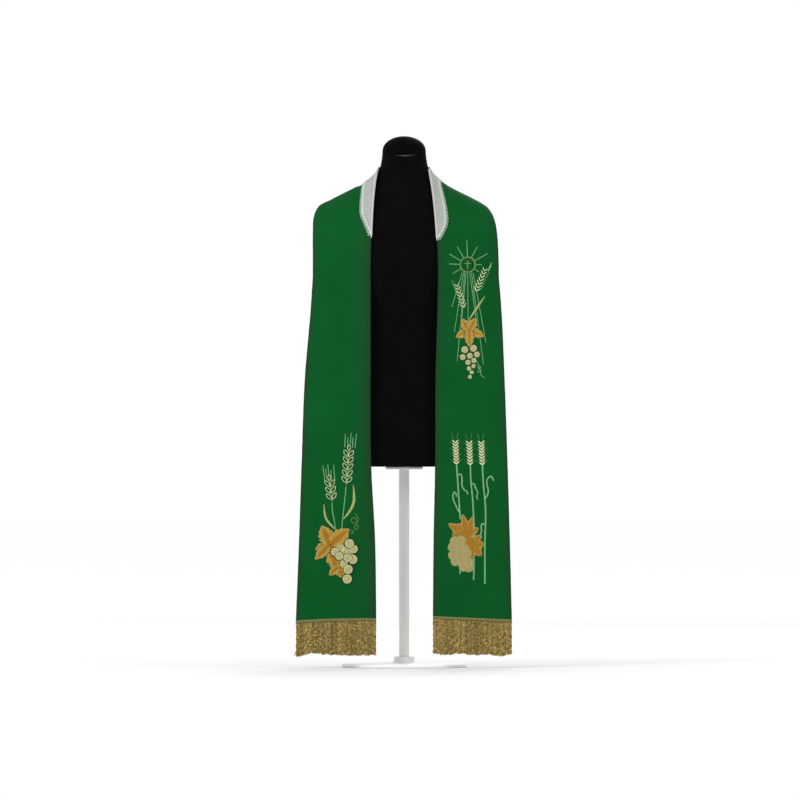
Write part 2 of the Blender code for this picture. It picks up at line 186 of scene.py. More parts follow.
def mottle(made, colour, amount, scale, height=1.0):
    """Darker and lighter soft patches of a colour. Height is a multiple of a patch's width."""
    place = node(made, "ShaderNodeTexCoord")
    stretch = node(made, "ShaderNodeMapping", Scale=(1, 1, 1 / height))
    noise = node(made, "ShaderNodeTexNoise", Scale=scale, Detail=3)
    wire(made, place.outputs["Object"], stretch.inputs["Vector"])
    wire(made, stretch.outputs["Vector"], noise.inputs["Vector"])
    ramp = node(made, "ShaderNodeValToRGB")
    ramp.color_ramp.elements[0].position = 0.3
    ramp.color_ramp.elements[1].position = 0.7
    ramp.color_ramp.elements[0].color = (*[c * (1 - amount) for c in colour], 1)
    ramp.color_ramp.elements[1].color = (*[c * (1 + amount) for c in colour], 1)
    wire(made, noise.outputs["Fac"], ramp.inputs["Fac"])
    wire(made, ramp.outputs["Color"], made.node_tree.nodes["Principled BSDF"].inputs["Base Color"])
    return noise


def fade_to(made, attribute, colour):
    """Fades the colour to another one where a point's attribute is 1."""
    amount = node(made, "ShaderNodeAttribute", attribute_name=attribute)
    mix = node(made, "ShaderNodeMixRGB", Color2=(*colour, 1))
    target = made.node_tree.nodes["Principled BSDF"].inputs["Base Color"]
    wire(made, target.links[0].from_socket, mix.inputs["Color1"])
    wire(made, amount.outputs["Fac"], mix.inputs["Fac"])
    wire(made, mix.outputs["Color"], target)


def weave(made, pitch, strength):
    """Threads over and under, from two crossed waves on the cloth's own flat map, in metres."""
    place = node(made, "ShaderNodeTexCoord")
    bands = math.pi / 10 / pitch  # the scale at which this texture has one band a pitch
    heights = []
    for direction in ("X", "Y"):
        wave = node(made, "ShaderNodeTexWave", bands_direction=direction, Scale=bands)
        wave.inputs["Distortion"].default_value = 0.6
        wave.inputs["Detail Scale"].default_value = 2
        wire(made, place.outputs["UV"], wave.inputs["Vector"])
        heights.append(wave.outputs["Fac"])
    both = node(made, "ShaderNodeMath", operation="MULTIPLY")
    wire(made, heights[0], both.inputs[0])
    wire(made, heights[1], both.inputs[1])
    relief(made, both.outputs[0], strength, pitch / 2)


# %% The floor's finish: a little greyer under the stand, and white far out
FLOOR_NEAR = (0.72, 0.72, 0.72)
FLOOR_FAR = (0.99, 0.99, 0.99)
FLOOR_FADE = 0.17

floor_paint = finish("floor_white", FLOOR_NEAR, 0.9, Specular_IOR_Level=0.05)
floor_place = node(floor_paint, "ShaderNodeTexCoord")
floor_scale = node(floor_paint, "ShaderNodeMapping", Scale=(FLOOR_FADE, FLOOR_FADE, FLOOR_FADE))
floor_fade = node(floor_paint, "ShaderNodeTexGradient", gradient_type="SPHERICAL")
floor_tone = node(floor_paint, "ShaderNodeValToRGB")
floor_tone.color_ramp.elements[0].color = (*FLOOR_FAR, 1)
floor_tone.color_ramp.elements[1].color = (*FLOOR_NEAR, 1)
wire(floor_paint, floor_place.outputs["Object"], floor_scale.inputs["Vector"])
wire(floor_paint, floor_scale.outputs["Vector"], floor_fade.inputs["Vector"])
wire(floor_paint, floor_fade.outputs["Fac"], floor_tone.inputs["Fac"])
floor_shader = floor_paint.node_tree.nodes["Principled BSDF"]
wire(floor_paint, floor_tone.outputs["Color"], floor_shader.inputs["Base Color"])
floor.data.materials.append(floor_paint)
print("floor's finish:", len(floor_paint.node_tree.nodes), "nodes")

# %% The finishes of cloth, form and stand
GREEN = (0.0021, 0.073, 0.0143)
# Painted shade: the darker, greyer green that the panels' edges fade to.
EDGE_SHADE_GREEN = (0.0150, 0.030, 0.0165)
green_cloth = finish("cloth_green", GREEN, 0.85, Specular_IOR_Level=0.05)
mottle(green_cloth, GREEN, 0.07, 9)
weave(green_cloth, 0.7 * MM, 0.35)
fade_to(green_cloth, "painted_edge_shade", EDGE_SHADE_GREEN)

BAND_WHITE = (0.345, 0.362, 0.337)
white_cotton = finish("band_white", BAND_WHITE, 0.9, Specular_IOR_Level=0.15)
mottle(white_cotton, BAND_WHITE, 0.05, 60)
weave(white_cotton, 0.5 * MM, 0.5)

LACE_WHITE = (0.52, 0.58, 0.52)
lace_thread = finish("lace_thread", LACE_WHITE, 0.8, Specular_IOR_Level=0.2)
mottle(lace_thread, LACE_WHITE, 0.10, 300)

JERSEY = (0.0022, 0.0022, 0.0022)
black_jersey = finish("jersey_black", JERSEY, 0.95, Specular_IOR_Level=0.04)
mottle(black_jersey, JERSEY, 0.2, 30)
weave(black_jersey, 0.9 * MM, 0.5)

CAP_BLACK = (0.0025, 0.0025, 0.0025)
# A paler grey, painted on the front of the cap's rim as a painted highlight.
PAINTED_HIGHLIGHT_GREY = (0.06, 0.06, 0.06)
black_cap = finish("cap_black", CAP_BLACK, 0.5, Specular_IOR_Level=0.005)
grain = mottle(black_cap, CAP_BLACK, 0.15, 40)
relief(black_cap, grain.outputs["Fac"], 0.1, 0.2 * MM)
fade_to(black_cap, "painted_highlight", PAINTED_HIGHLIGHT_GREY)

STAND_WHITE = (0.78, 0.78, 0.77)
white_coat = finish("stand_white", STAND_WHITE, 0.45, Specular_IOR_Level=0.4)
peel = mottle(white_coat, STAND_WHITE, 0.02, 350)
relief(white_coat, peel.outputs["Fac"], 0.15, 0.1 * MM)
print("finishes:", [m.name for m in bpy.data.materials if m.users])

# %% [markdown]
# ## A helper that skins rings
#
# Cloth with turned edges, a thread and a stitch are one kind of shape: a closed outline that is
# carried along a path. So one helper makes them all. It takes rings of points and puts a skin
# round them, many pieces at a time, with a cap on both ends.

# %% Skin
SHARP_ANGLE = math.radians(50)


def skin(name, rings, material, uv=None):
    """A mesh from rings, an array of pieces x rings x points x 3. Each piece is closed."""
    pieces, count, size = rings.shape[:3]
    first = np.arange(pieces)[:, None, None] * count * size
    ring = np.arange(count - 1)[None, :, None] * size
    point = np.arange(size)[None, None, :]
    after = (point + 1) % size
    corners = [ring + point, ring + after, ring + size + after, ring + size + point]
    quads = np.stack([first + c for c in corners], axis=-1).reshape(-1, 4)
    start = np.arange(size)[None, ::-1] + np.arange(pieces)[:, None] * count * size
    end = np.arange(size)[None, :] + (np.arange(pieces)[:, None] * count + count - 1) * size
    faces = [*quads.tolist(), *start.tolist(), *end.tolist()]
    mesh = bpy.data.meshes.new(name)
    mesh.from_pydata(rings.reshape(-1, 3).tolist(), [], faces)
    if uv is not None:
        layer = mesh.uv_layers.new(name="flat")
        vertex = np.empty(len(mesh.loops), int)
        mesh.loops.foreach_get("vertex_index", vertex)
        layer.data.foreach_set("uv", uv.reshape(-1, 2)[vertex].ravel())
    mesh.materials.append(material)
    closed = bmesh.new()
    closed.from_mesh(mesh)
    bmesh.ops.recalc_face_normals(closed, faces=closed.faces)
    closed.to_mesh(mesh)
    closed.free()
    mesh.shade_smooth()
    mesh.set_sharp_from_angle(angle=SHARP_ANGLE)
    made = bpy.data.objects.new(name, mesh)
    bpy.context.scene.collection.objects.link(made)
    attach(made, "root")
    return made


def mark(piece, attribute, values):
    """Keeps a number for each point of a piece, for its finish to read."""
    kept = piece.data.attributes.new(attribute, "FLOAT", "POINT")
    kept.data.foreach_set("value", np.ravel(values))


def join(pieces):
    """Makes one object of several skins."""
    with bpy.context.temp_override(active_object=pieces[0], selected_editable_objects=pieces):
        bpy.ops.object.join()
    return pieces[0]


# %% [markdown]
# ## The dress form
#
# A dress form is a padded shell under stretched jersey. Its body is a stack of rings, each one
# a softened ellipse, whose half sizes are read from a short table. The rings are as many as
# the curve needs, so the outline is smooth from every side. Towards the rim the rings tilt
# forward, as a neck does. The cover's hem shows as a faint line above the underside, and a seam
# runs down the centre of the back.

# %% The form's sizes
FORM_ROWS = (
    # height, half width, depth of the front, depth of the back
    (0.4836, 0.160, 0.100, 0.104),
    (0.4870, 0.1645, 0.1035, 0.108),
    (0.4960, 0.1670, 0.1050, 0.110),
    (0.5600, 0.1705, 0.1080, 0.1150),
    (0.6300, 0.1680, 0.1090, 0.1130),
    (0.7000, 0.1560, 0.1070, 0.1020),
    (0.7700, 0.1440, 0.1045, 0.0900),
    (0.8300, 0.1470, 0.1090, 0.0880),
    (0.8900, 0.1640, 0.1180, 0.0940),
    (0.9400, 0.1840, 0.1240, 0.1020),
    (0.9900, 0.2010, 0.1220, 0.1080),
    (1.0300, 0.2105, 0.1150, 0.1100),
    (1.0550, 0.2130, 0.1090, 0.1090),
    (1.0800, 0.2118, 0.1020, 0.1060),
    (1.0970, 0.2065, 0.0960, 0.1020),
    (1.1075, 0.1985, 0.0920, 0.0990),
    (1.1190, 0.1810, 0.0870, 0.0945),
    (1.1282, 0.1632, 0.0825, 0.0900),
    (1.1378, 0.1440, 0.0780, 0.0855),
    (1.1475, 0.1248, 0.0735, 0.0805),
    (1.1580, 0.1056, 0.0685, 0.0745),
    (1.1715, 0.0864, 0.0635, 0.0670),
    (1.1870, 0.0690, 0.0590, 0.0595),
    (1.2030, 0.0590, 0.0570, 0.0530),
    (1.2220, 0.0545, 0.0560, 0.0490),
    (1.2420, 0.0522, 0.0560, 0.0470),
)
ROUNDNESS = 2.3
NECK_TILT = 0.23
NECK_TILT_FROM = 1.17


def along(rows, place, column):
    """A column of a table at a place in its first column, on a smooth curve through the rows."""
    table = np.array(rows, float)
    places, values = table[:, 0], table[:, column]
    slopes = np.gradient(values, places)
    place = np.clip(place, places[0], places[-1])
    row = np.clip(np.searchsorted(places, place) - 1, 0, len(places) - 2)
    step = places[row + 1] - places[row]
    t = (place - places[row]) / step
    start = (1 + 2 * t) * (1 - t) ** 2 * values[row] + t * (1 - t) ** 2 * step * slopes[row]
    end = t * t * (3 - 2 * t) * values[row + 1] + t * t * (t - 1) * step * slopes[row + 1]
    return start + end


def between(first, last, share):
    """The value at a share of the way from the first to the last."""
    return first + (last - first) * share


def neck_tilt(level):
    """Slope of the ring at a level: none on the body, growing towards the neck's rim."""
    return NECK_TILT * np.clip((level - NECK_TILT_FROM) / (FORM_ROWS[-1][0] - NECK_TILT_FROM), 0, 1)


print("form:", FORM_ROWS[0][0], "to", FORM_ROWS[-1][0], "m above the floor")

# %% The jersey body
JERSEY_LEVELS = 120
JERSEY_TURNS = 128
HEM_LINE = 0.539
HEM_LEVELS = 9
SEAM_DEPTH = 0.5 * MM
SEAM_WIDTH = 1.2 * MM


def groove(distance):
    """A rounded furrow, 1 where the distance is none."""
    return np.exp(-((distance / SEAM_WIDTH) ** 2))


def make_jersey():
    """The body's rings, closer together where the table's rows are and across the hem's line."""
    rows = np.arange(len(FORM_ROWS))
    levels = np.array([row[0] for row in FORM_ROWS])
    heights = np.interp(np.linspace(0, rows[-1], JERSEY_LEVELS), rows, levels)
    hem = HEM_LINE + np.linspace(-2, 2, HEM_LEVELS) * SEAM_WIDTH
    heights = np.sort(np.concatenate([heights, hem]))
    turns = np.linspace(0, 2 * math.pi, JERSEY_TURNS, endpoint=False)
    height, turn = np.meshgrid(heights, turns, indexing="ij")
    cosine, sine = np.cos(turn), np.sin(turn)
    depth = np.where(sine < 0, along(FORM_ROWS, height, 2), along(FORM_ROWS, height, 3))
    x = along(FORM_ROWS, height, 1) * np.sign(cosine) * np.abs(cosine) ** (2 / ROUNDNESS)
    y = depth * np.sign(sine) * np.abs(sine) ** (2 / ROUNDNESS)
    seams = groove(height - HEM_LINE) + groove(x) * (y > 0)
    inwards = 1 - SEAM_DEPTH * np.minimum(seams, 1) / np.hypot(x, y)
    rings = np.stack([x * inwards, y * inwards, height + neck_tilt(height) * y], axis=-1)[None]
    step_x = np.diff(x, axis=1, append=x[:, :1])
    step_y = np.diff(y, axis=1, append=y[:, :1])
    round_body = np.cumsum(np.hypot(step_x, step_y), axis=1)
    uv = np.stack([round_body, height], axis=-1)
    body = skin("jersey_body", rings, black_jersey, uv)
    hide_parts("form_torso")
    return body


jersey = make_jersey()
print("jersey body:", len(jersey.data.polygons), "faces")

# %% [markdown]
# ## Neck cap and stand
#
# Cap, flange, pole and base are turned pieces: a profile carried round an axis. On the real
# form the cap is moulded with a rolled rim, and it leans forward with the neck. The front of
# the rim is painted a paler grey, as a painted highlight. The stand is powder-coated steel.
# Corners are rounded in the profile itself, since coated metal has no sharp ones.

# %% Turned pieces
GAP = 0.0003
TURNS = 96


def round_corners(profile, radius):
    """The profile with an arc in place of every corner between its ends."""
    points = np.array(profile, float)
    rounded = [points[0]]
    for before, corner, after in zip(points, points[1:], points[2:]):
        reach = min(radius, np.linalg.norm(corner - before) / 2, np.linalg.norm(after - corner) / 2)
        start = corner + (before - corner) / np.linalg.norm(before - corner) * reach
        end = corner + (after - corner) / np.linalg.norm(after - corner) * reach
        for t in np.linspace(0, 1, 6):
            rounded.append((1 - t) ** 2 * start + 2 * t * (1 - t) * corner + t * t * end)
    return np.array([*rounded, points[-1]])


def turned(name, profile, material, node_name, depth_share=1.0):
    """A turned piece from (radius, height) points, bottom to top."""
    radius, height = np.array(profile).T
    turn = np.linspace(0, 2 * math.pi, TURNS, endpoint=False)
    x = radius[:, None] * np.cos(turn)
    y = radius[:, None] * np.sin(turn) * depth_share
    z = np.broadcast_to(height[:, None], x.shape)
    made = skin(name, np.stack([x, y, z], axis=-1)[None], material)
    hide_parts(node_name)
    return made


# %% The cap
RIM = FORM_ROWS[-1]
CORE = 0.010  # how far from the axis a profile ends. Flat faces close it there
CAP_HEIGHT = 0.038
CAP_GAP = 0.00036
OVERHANG = 0.0006
CAP_RADIUS = RIM[1] + OVERHANG
CAP_DEPTH = (RIM[2] + RIM[3]) / 2 + OVERHANG
CAP_Y = (RIM[3] - RIM[2]) / 2
BEAD = 0.0020
DOME_RADIUS = CAP_RADIUS - 0.0007
DOME_FROM = 2 * BEAD
DOME_HEIGHT = CAP_HEIGHT - DOME_FROM
HIGHLIGHT_X = 0.004
HIGHLIGHT_WIDTH = 0.016

bead = []
for a in np.radians(np.linspace(-70, 60, 9)):
    bead.append((CAP_RADIUS - BEAD + BEAD * math.cos(a), BEAD + BEAD * math.sin(a)))
dome = []
for a in np.radians(np.linspace(0, 87, 28)):
    dome.append((DOME_RADIUS * math.cos(a), DOME_FROM + DOME_HEIGHT * math.sin(a)))
cap = turned(
    "neck_cap_moulded", [(CORE, 0.0), *bead, *dome], black_cap, "form_neck_cap",
    CAP_DEPTH / CAP_RADIUS,
)
# A painted highlight: the front of the rim's bead is painted paler grey, in a band across the
# middle.
points = np.array([v.co for v in cap.data.vertices])
from_front = points[:, 0] - HIGHLIGHT_X
on_bead = (points[:, 1] < 0) & (points[:, 2] < DOME_FROM)
mark(cap, "painted_highlight", np.exp(-((from_front / HIGHLIGHT_WIDTH) ** 2)) * on_bead)
cap_place = Matrix.Translation((0, CAP_Y, RIM[0] + NECK_TILT * CAP_Y + CAP_GAP))
cap.data.transform(cap_place @ Matrix.Rotation(math.atan(NECK_TILT), 4, "X"))
print("cap:", len(cap.data.polygons), "faces")

# %% The stand
BASE_RADIUS = 0.150
BASE_THICK = 0.010
BASE_FALL = 0.002
HUB_RADIUS = 0.024
HUB_FOOT = 0.010
HUB_HEIGHT = 0.026
POLE_RADIUS = 0.0125
FLANGE_RADIUS = 0.045
FLANGE_THICK = 0.006
FLANGE_BOTTOM = FORM_ROWS[0][0] - GAP - FLANGE_THICK

base_profile = (
    (CORE, 0.0),
    (BASE_RADIUS, 0.0),
    (BASE_RADIUS, BASE_THICK - BASE_FALL),
    (HUB_RADIUS + HUB_FOOT, BASE_THICK),
    (HUB_RADIUS + 0.002, BASE_THICK + 0.002),
    (HUB_RADIUS, HUB_HEIGHT),
    (CORE, HUB_HEIGHT),
)
flange_profile = (
    (CORE, FLANGE_BOTTOM),
    (FLANGE_RADIUS, FLANGE_BOTTOM),
    (FLANGE_RADIUS, FLANGE_BOTTOM + FLANGE_THICK),
    (CORE, FLANGE_BOTTOM + FLANGE_THICK),
)
pole_profile = ((POLE_RADIUS, HUB_HEIGHT + GAP), (POLE_RADIUS, FLANGE_BOTTOM - GAP))
STAND = (
    # piece, profile, the solid that it replaces
    ("base_plate", round_corners(base_profile, 0.003), "form_base"),
    ("flange_plate", round_corners(flange_profile, 0.002), "form_flange"),
    ("pole_tube", pole_profile, "form_pole"),
)
for piece, profile, solid in STAND:
    turned(piece, profile, white_coat, solid)
print("stand:", round(FLANGE_BOTTOM + FLANGE_THICK, 3), "m to the form's underside")

# %% [markdown]
# ## The cloth's surface
#
# A stole lies where gravity puts it: round the neck, down over the ridge of the shoulder in an
# arch, and then straight down. So the surface has three stretches, and a station counts along
# them: -1 at the centre of the back, 0 on the ridge, 1 where the arch ends, and 2 at the hem.
# A share counts across, from 0 at the inner edge to 1 at the outer one. Side -1 is the wearer's
# right and 1 the left. They differ a little, as they do on any real stole: the hems slant, an
# edge curls or sways, and each bridges the end of its shoulder in its own way. Wherever the
# cloth would come nearer to the form than half a millimetre, it is moved out along the form's
# normal, which is what makes it look as if it lay there.

# %% The cloth's sizes
CLOTH_THICK = 0.0020
CLOTH_GAP = 0.0005
SEAM_GAP = 0.0003
SHOULDER_FROM = 1.08  # from here up, the form's slope carries the cloth
RIDGE_INNER = 0.0605  # x of the inner edge on the ridge
NAPE_INNER = (0.060, 1.2060)  # y and height of the inner edge at the centre of the back
NAPE_OUTER = (0.112, 1.0620)
ARCH = 2.2  # 2 is an ellipse, and more is squarer
FOOT = 0.940  # height at which the arch ends
HEM = 0.1212
HEM_SLANT = {
    # how much lower the hem is at its inner corner, how much more at its outer one, and its bend
    -1: (0.0008, 0.0060, 2.5),
    1: (-0.0042, 0.0084, 1.0),
}
RIGHT_FRONT = (
    # height, inner x, outer x, inner y, outer y, bow, curl
    (0.1212, 0.0667, 0.2597, -0.1270, -0.1090, 0.002, 0.000),
    (0.3000, 0.0695, 0.2525, -0.1280, -0.1085, 0.003, 0.004),
    (0.5000, 0.0797, 0.2457, -0.1280, -0.1050, 0.004, 0.008),
    (0.7000, 0.0805, 0.2380, -0.1270, -0.0980, 0.004, 0.005),
    (0.8700, 0.0800, 0.2235, -0.1250, -0.0860, 0.004, 0.000),
    (0.9400, 0.0800, 0.2190, -0.1220, -0.0790, 0.004, 0.000),
)
LEFT_FRONT = (
    # height, inner x, outer x, inner y, outer y, bow, curl
    (0.1212, 0.0689, 0.2582, -0.1270, -0.1090, 0.002, 0.002),
    (0.3000, 0.0703, 0.2537, -0.1280, -0.1080, 0.003, 0.000),
    (0.5000, 0.0744, 0.2477, -0.1280, -0.1050, 0.003, 0.003),
    (0.7000, 0.0752, 0.2406, -0.1270, -0.0980, 0.004, 0.000),
    (0.8700, 0.0797, 0.2326, -0.1250, -0.0870, 0.004, 0.000),
    (0.9400, 0.0809, 0.2270, -0.1220, -0.0800, 0.004, 0.000),
)
CURL_SHARE = 0.22  # how much of the width the curl of the inner edge takes
SWAY = {-1: 0.002, 1: 0.007}  # how far the inner edge swings in beside the neck
SHOULDER_ENDS = {
    # x, and height of the cloth's underside where it bridges the end of the form's shoulder
    -1: (
        (0.1103, 1.1575), (0.1296, 1.1483), (0.1489, 1.1389), (0.1682, 1.1293), (0.1778, 1.1242),
        (0.1875, 1.1201), (0.1970, 1.1154), (0.2062, 1.1078), (0.2124, 1.0964), (0.2160, 1.0840),
        (0.2175, 1.0750),
    ),
    1: ((0.1914, 1.1125), (0.2008, 1.1030), (0.2050, 1.0980), (0.2090, 1.0885), (0.2105, 1.0830)),
}
SHOULDER_ROWS = {}
for side, ends in SHOULDER_ENDS.items():
    slope = []
    for height, half_width, _, _ in FORM_ROWS[-2::-1]:
        if height > SHOULDER_FROM and half_width < ends[0][0]:
            slope.append((half_width, height))
    SHOULDER_ROWS[side] = slope + list(ends)
print("shoulders end at", [ends[-1][0] for ends in SHOULDER_ENDS.values()], "m from the centre")

# %% How far a point is from the form


def form_reach(points):
    """1 on the form's surface, less inside and more outside."""
    x, y, z = points.T
    level = z
    for _ in range(3):
        level = z - neck_tilt(level) * y
    half_width = along(FORM_ROWS, level, 1)
    depth = np.where(y < 0, along(FORM_ROWS, level, 2), along(FORM_ROWS, level, 3))
    return (np.abs(x / half_width) ** ROUNDNESS + np.abs(y / depth) ** ROUNDNESS) ** (1 / ROUNDNESS)


def clear_of_form(points):
    """The points, those nearer to the form than the cloth's gap moved out."""
    step = 0.1 * MM
    for _ in range(5):
        slope = np.empty_like(points)
        for axis in range(3):
            shift = np.eye(3)[axis] * step
            slope[:, axis] = (form_reach(points + shift) - form_reach(points - shift)) / (2 * step)
        steepness = np.linalg.norm(slope, axis=1)
        distance = (form_reach(points) - 1) / steepness
        points = points + slope * (np.maximum(CLOTH_GAP - distance, 0) / steepness)[:, None]
    return points


# %% [markdown]
# ## Soft folds
#
# Good vestment cloth is interlined and hangs almost flat. What is left are shallow swells, a
# millimetre or two deep, that run down from the shoulder and fade out. Each one is a row in a
# table, uneven in place and length, on the hidden back as well. They are added to the surface
# before the skin is made, so threads and fringe follow them.

# %% Soft folds
SOFT_FOLDS = (
    # side, station from, station to, share there, share here, half width, height in mm
    (-1, 0.35, 1.55, 0.60, 0.72, 0.11, 1.5),
    (-1, 0.60, 1.90, 0.28, 0.33, 0.09, -1.2),
    (-1, 1.20, 2.00, 0.86, 0.80, 0.08, 1.3),
    (-1, 1.45, 2.05, 0.48, 0.55, 0.12, -1.6),
    (-1, -0.90, 0.30, 0.55, 0.48, 0.14, 1.0),
    (1, 0.30, 1.40, 0.68, 0.82, 0.10, 1.4),
    (1, 0.75, 1.70, 0.22, 0.18, 0.08, 1.0),
    (1, 1.10, 2.05, 0.62, 0.52, 0.12, -1.5),
    (1, 1.60, 2.05, 0.86, 0.90, 0.08, 1.6),
    (1, -0.80, 0.20, 0.70, 0.62, 0.14, 1.1),
)


def fold_height(side, station, share):
    """How far the folds lift the cloth, in metres."""
    total = np.zeros_like(station)
    for fold_side, start, end, first, last, half_width, height in SOFT_FOLDS:
        if fold_side == side:
            run = np.clip((station - start) / (end - start), 0, 1)
            middle = between(first, last, run)
            across = np.exp(-(((share - middle) / half_width) ** 2))
            total = total + height * MM * np.sin(math.pi * run) ** 2 * across
    return total


print("soft folds:", len(SOFT_FOLDS))

# %% The panel's points
def power(value, exponent):
    """A power of the value, which counts as none where it is less."""
    return np.maximum(value, 0.0) ** exponent


def panel_points(side, station, across):
    """Points on the underside of a panel, for arrays of stations and shares of one shape."""
    rows = LEFT_FRONT if side > 0 else RIGHT_FRONT
    turn = np.clip(station, -1, 1) * math.pi / 2
    ridge_x = between(RIDGE_INNER, SHOULDER_ENDS[side][-1][0], across)
    ridge_z = along(SHOULDER_ROWS[side], ridge_x, 1)

    drop = np.clip(station - 1, 0, 1)
    height = between(FOOT, HEM, drop)
    foot_x = between(along(rows, height, 1), along(rows, height, 2), across)
    foot_y = between(along(rows, height, 3), along(rows, height, 4), across)
    foot_y = foot_y - along(rows, height, 5) * 4 * across * (1 - across)
    foot_y = foot_y + along(rows, height, 6) * power(1 - across / CURL_SHARE, 2)
    lower, slant, bend = HEM_SLANT[side]
    hang_z = height - (lower + slant * across**bend) * drop

    front_x = ridge_x + (foot_x - ridge_x) * np.maximum(np.sin(turn), 0)
    near_neck = np.sin(math.pi * np.clip(station / 0.9, 0, 1) ** 0.6) * (1 - across) ** 2
    front_x = front_x - SWAY[side] * near_neck
    front_y = foot_y * power(np.sin(turn), 2 / ARCH)
    front_z = np.where(station < 1, FOOT + (ridge_z - FOOT) * power(np.cos(turn), 2 / ARCH), hang_z)

    back = np.maximum(-turn, 0)
    back_y = between(NAPE_INNER[0], NAPE_OUTER[0], across)
    back_z = between(NAPE_INNER[1], NAPE_OUTER[1], across)
    toe_in = back_y * (foot_x - ridge_x) / np.abs(foot_y)  # so that no edge bends on the ridge
    rear_x = ridge_x * np.cos(back) - toe_in * np.sin(2 * back) / 2
    rear_y = back_y * np.sin(back)
    rear_z = between(ridge_z, back_z, np.sin(back) ** 2)

    front = station > 0
    pairs = ((front_x, rear_x), (front_y, rear_y), (front_z, rear_z))
    points = np.stack([np.where(front, *pair) for pair in pairs], axis=-1)
    return clear_of_form(points.reshape(-1, 3)).reshape(points.shape)


def surface_normals(points, side):
    """Directions out of the cloth's face, from the steps to the next points."""
    down = np.gradient(points, axis=0)
    over = np.gradient(points, axis=1)
    normals = np.cross(down, over) * side
    return normals / np.linalg.norm(normals, axis=2)[..., None]


# %% The surface of both panels
BACK_ROWS = np.linspace(-1, 0, 48)
ARCH_ROWS = np.linspace(0, 1, 76)
HANGING_ROWS = np.linspace(1, 2, 100)
STATIONS = np.concatenate([BACK_ROWS[:-1], ARCH_ROWS[:-1], HANGING_ROWS])
SHARES = np.linspace(0, 1, 49)
DEEPEST_FOLD = 0.4 * MM  # near the form. Lower down a hollow only evens out a swell
SURFACE = {}
NORMALS = {}
for side in (-1, 1):
    station, share = np.meshgrid(STATIONS, SHARES, indexing="ij")
    points = panel_points(side, station, share)
    points[..., 0] = (points[..., 0] + SEAM_GAP / 2) * side
    normals = surface_normals(points, side)
    folds = np.maximum(fold_height(side, station, share), -DEEPEST_FOLD * (station < 1.1))
    points = points + normals * folds[..., None]
    SURFACE[side] = points
    NORMALS[side] = surface_normals(points, side)


def read_grid(grid, station, share):
    """A value between the points of a grid over stations and shares."""
    row = np.clip(np.searchsorted(STATIONS, station) - 1, 0, len(STATIONS) - 2)
    column = np.clip(np.searchsorted(SHARES, share) - 1, 0, len(SHARES) - 2)
    down = ((station - STATIONS[row]) / (STATIONS[row + 1] - STATIONS[row]))[..., None]
    over = ((share - SHARES[column]) / (SHARES[column + 1] - SHARES[column]))[..., None]
    near = between(grid[row, column], grid[row, column + 1], over)
    far = between(grid[row + 1, column], grid[row + 1, column + 1], over)
    return between(near, far, down)


def on_cloth(side, station, share, lift):
    """Points over a panel's underside, lifted along the normal. A share may pass the edges."""
    station, share, lift = np.broadcast_arrays(station, share, lift)
    place = read_grid(SURFACE[side], station, share)
    normal = read_grid(NORMALS[side], station, np.clip(share, 0, 1))
    return place + normal * lift[..., None]


def run_length(points):
    """Length from the first point to each one, along a row of points."""
    steps = np.linalg.norm(np.diff(points, axis=0), axis=-1)
    return np.concatenate([[0], np.cumsum(steps)])


LENGTHS = {}
WIDTHS = {}
for side, surface in SURFACE.items():
    LENGTHS[side] = run_length(surface[:, len(SHARES) // 2])
    WIDTHS[side] = np.linalg.norm(np.diff(surface, axis=1), axis=-1).sum(axis=1)
    narrow, wide = WIDTHS[side].min().round(3), WIDTHS[side].max().round(3)
    print("panel:", LENGTHS[side][-1].round(3), "m long,", narrow, "to", wide, "m wide")

# %% [markdown]
# ## The panels
#
# A stole's edges are not cut edges: the cloth is turned in over its interlining and pressed, so
# a border of 8 mm is a trace thicker, and the edge itself is round. The ring here is the
# outline of that section: the face, a round edge, the reverse and the other edge. Pressed edges
# also pucker, so a sum of slow waves lifts them, by up to a third of a millimetre. Along them the
# green is darkened and greyed as painted shade, where the edges turn away from the light, most
# on the right panel's inner edge, so each point keeps how much, and the finish reads that.

# %% The panels
TURNING = 8 * MM
TURNING_LIFT = 0.30 * MM
PUCKER = 0.35 * MM
PUCKER_WIDTH = 9 * MM
EDGE_ARC = np.radians((35, 0, -35))
# How far the painted shade darkens the green along the edges, and how far in it reaches.
EDGE_SHADE_MOST = 0.85
EDGE_SHADE_INNER = {-1: 15 * MM, 1: 7 * MM}
EDGE_SHADE_OUTER = 6 * MM


def wander(length, side):
    """An uneven slow wave along an edge, from -1 to 1."""
    waves = ((0.031, 0.4), (0.047, 1.9), (0.083, 3.1))
    parts = [np.sin(length / pitch * 2 * math.pi + phase * (2 + side)) for pitch, phase in waves]
    return sum(parts) / len(parts)


def close_edges(face, reverse):
    """Rings round a sheet: its face, a round edge, its reverse and the other round edge."""
    arcs = []
    for edge, before, turn in ((-1, -2, 1), (0, 1, -1)):
        middle = (face[:, edge] + reverse[:, edge]) / 2
        up = (face[:, edge] - reverse[:, edge]) / 2
        out = face[:, edge] - face[:, before]
        out = out * (np.linalg.norm(up, axis=1) / np.linalg.norm(out, axis=1))[:, None]
        arc = [middle + up * math.sin(turn * a) + out * math.cos(a) for a in EDGE_ARC]
        arcs.append(np.stack(arc, axis=1))
    return np.concatenate([face, arcs[0], reverse[:, ::-1], arcs[1]], axis=1)


def flat_map(across, length):
    """Where each point of such rings is on the flat cloth, in metres."""
    flat = np.stack(np.broadcast_arrays(across, length), axis=-1)
    edges = [np.repeat(flat[:, edge], len(EDGE_ARC), axis=1) for edge in ([-1], [0])]
    return np.concatenate([flat, edges[0], flat[:, ::-1], edges[1]], axis=1)


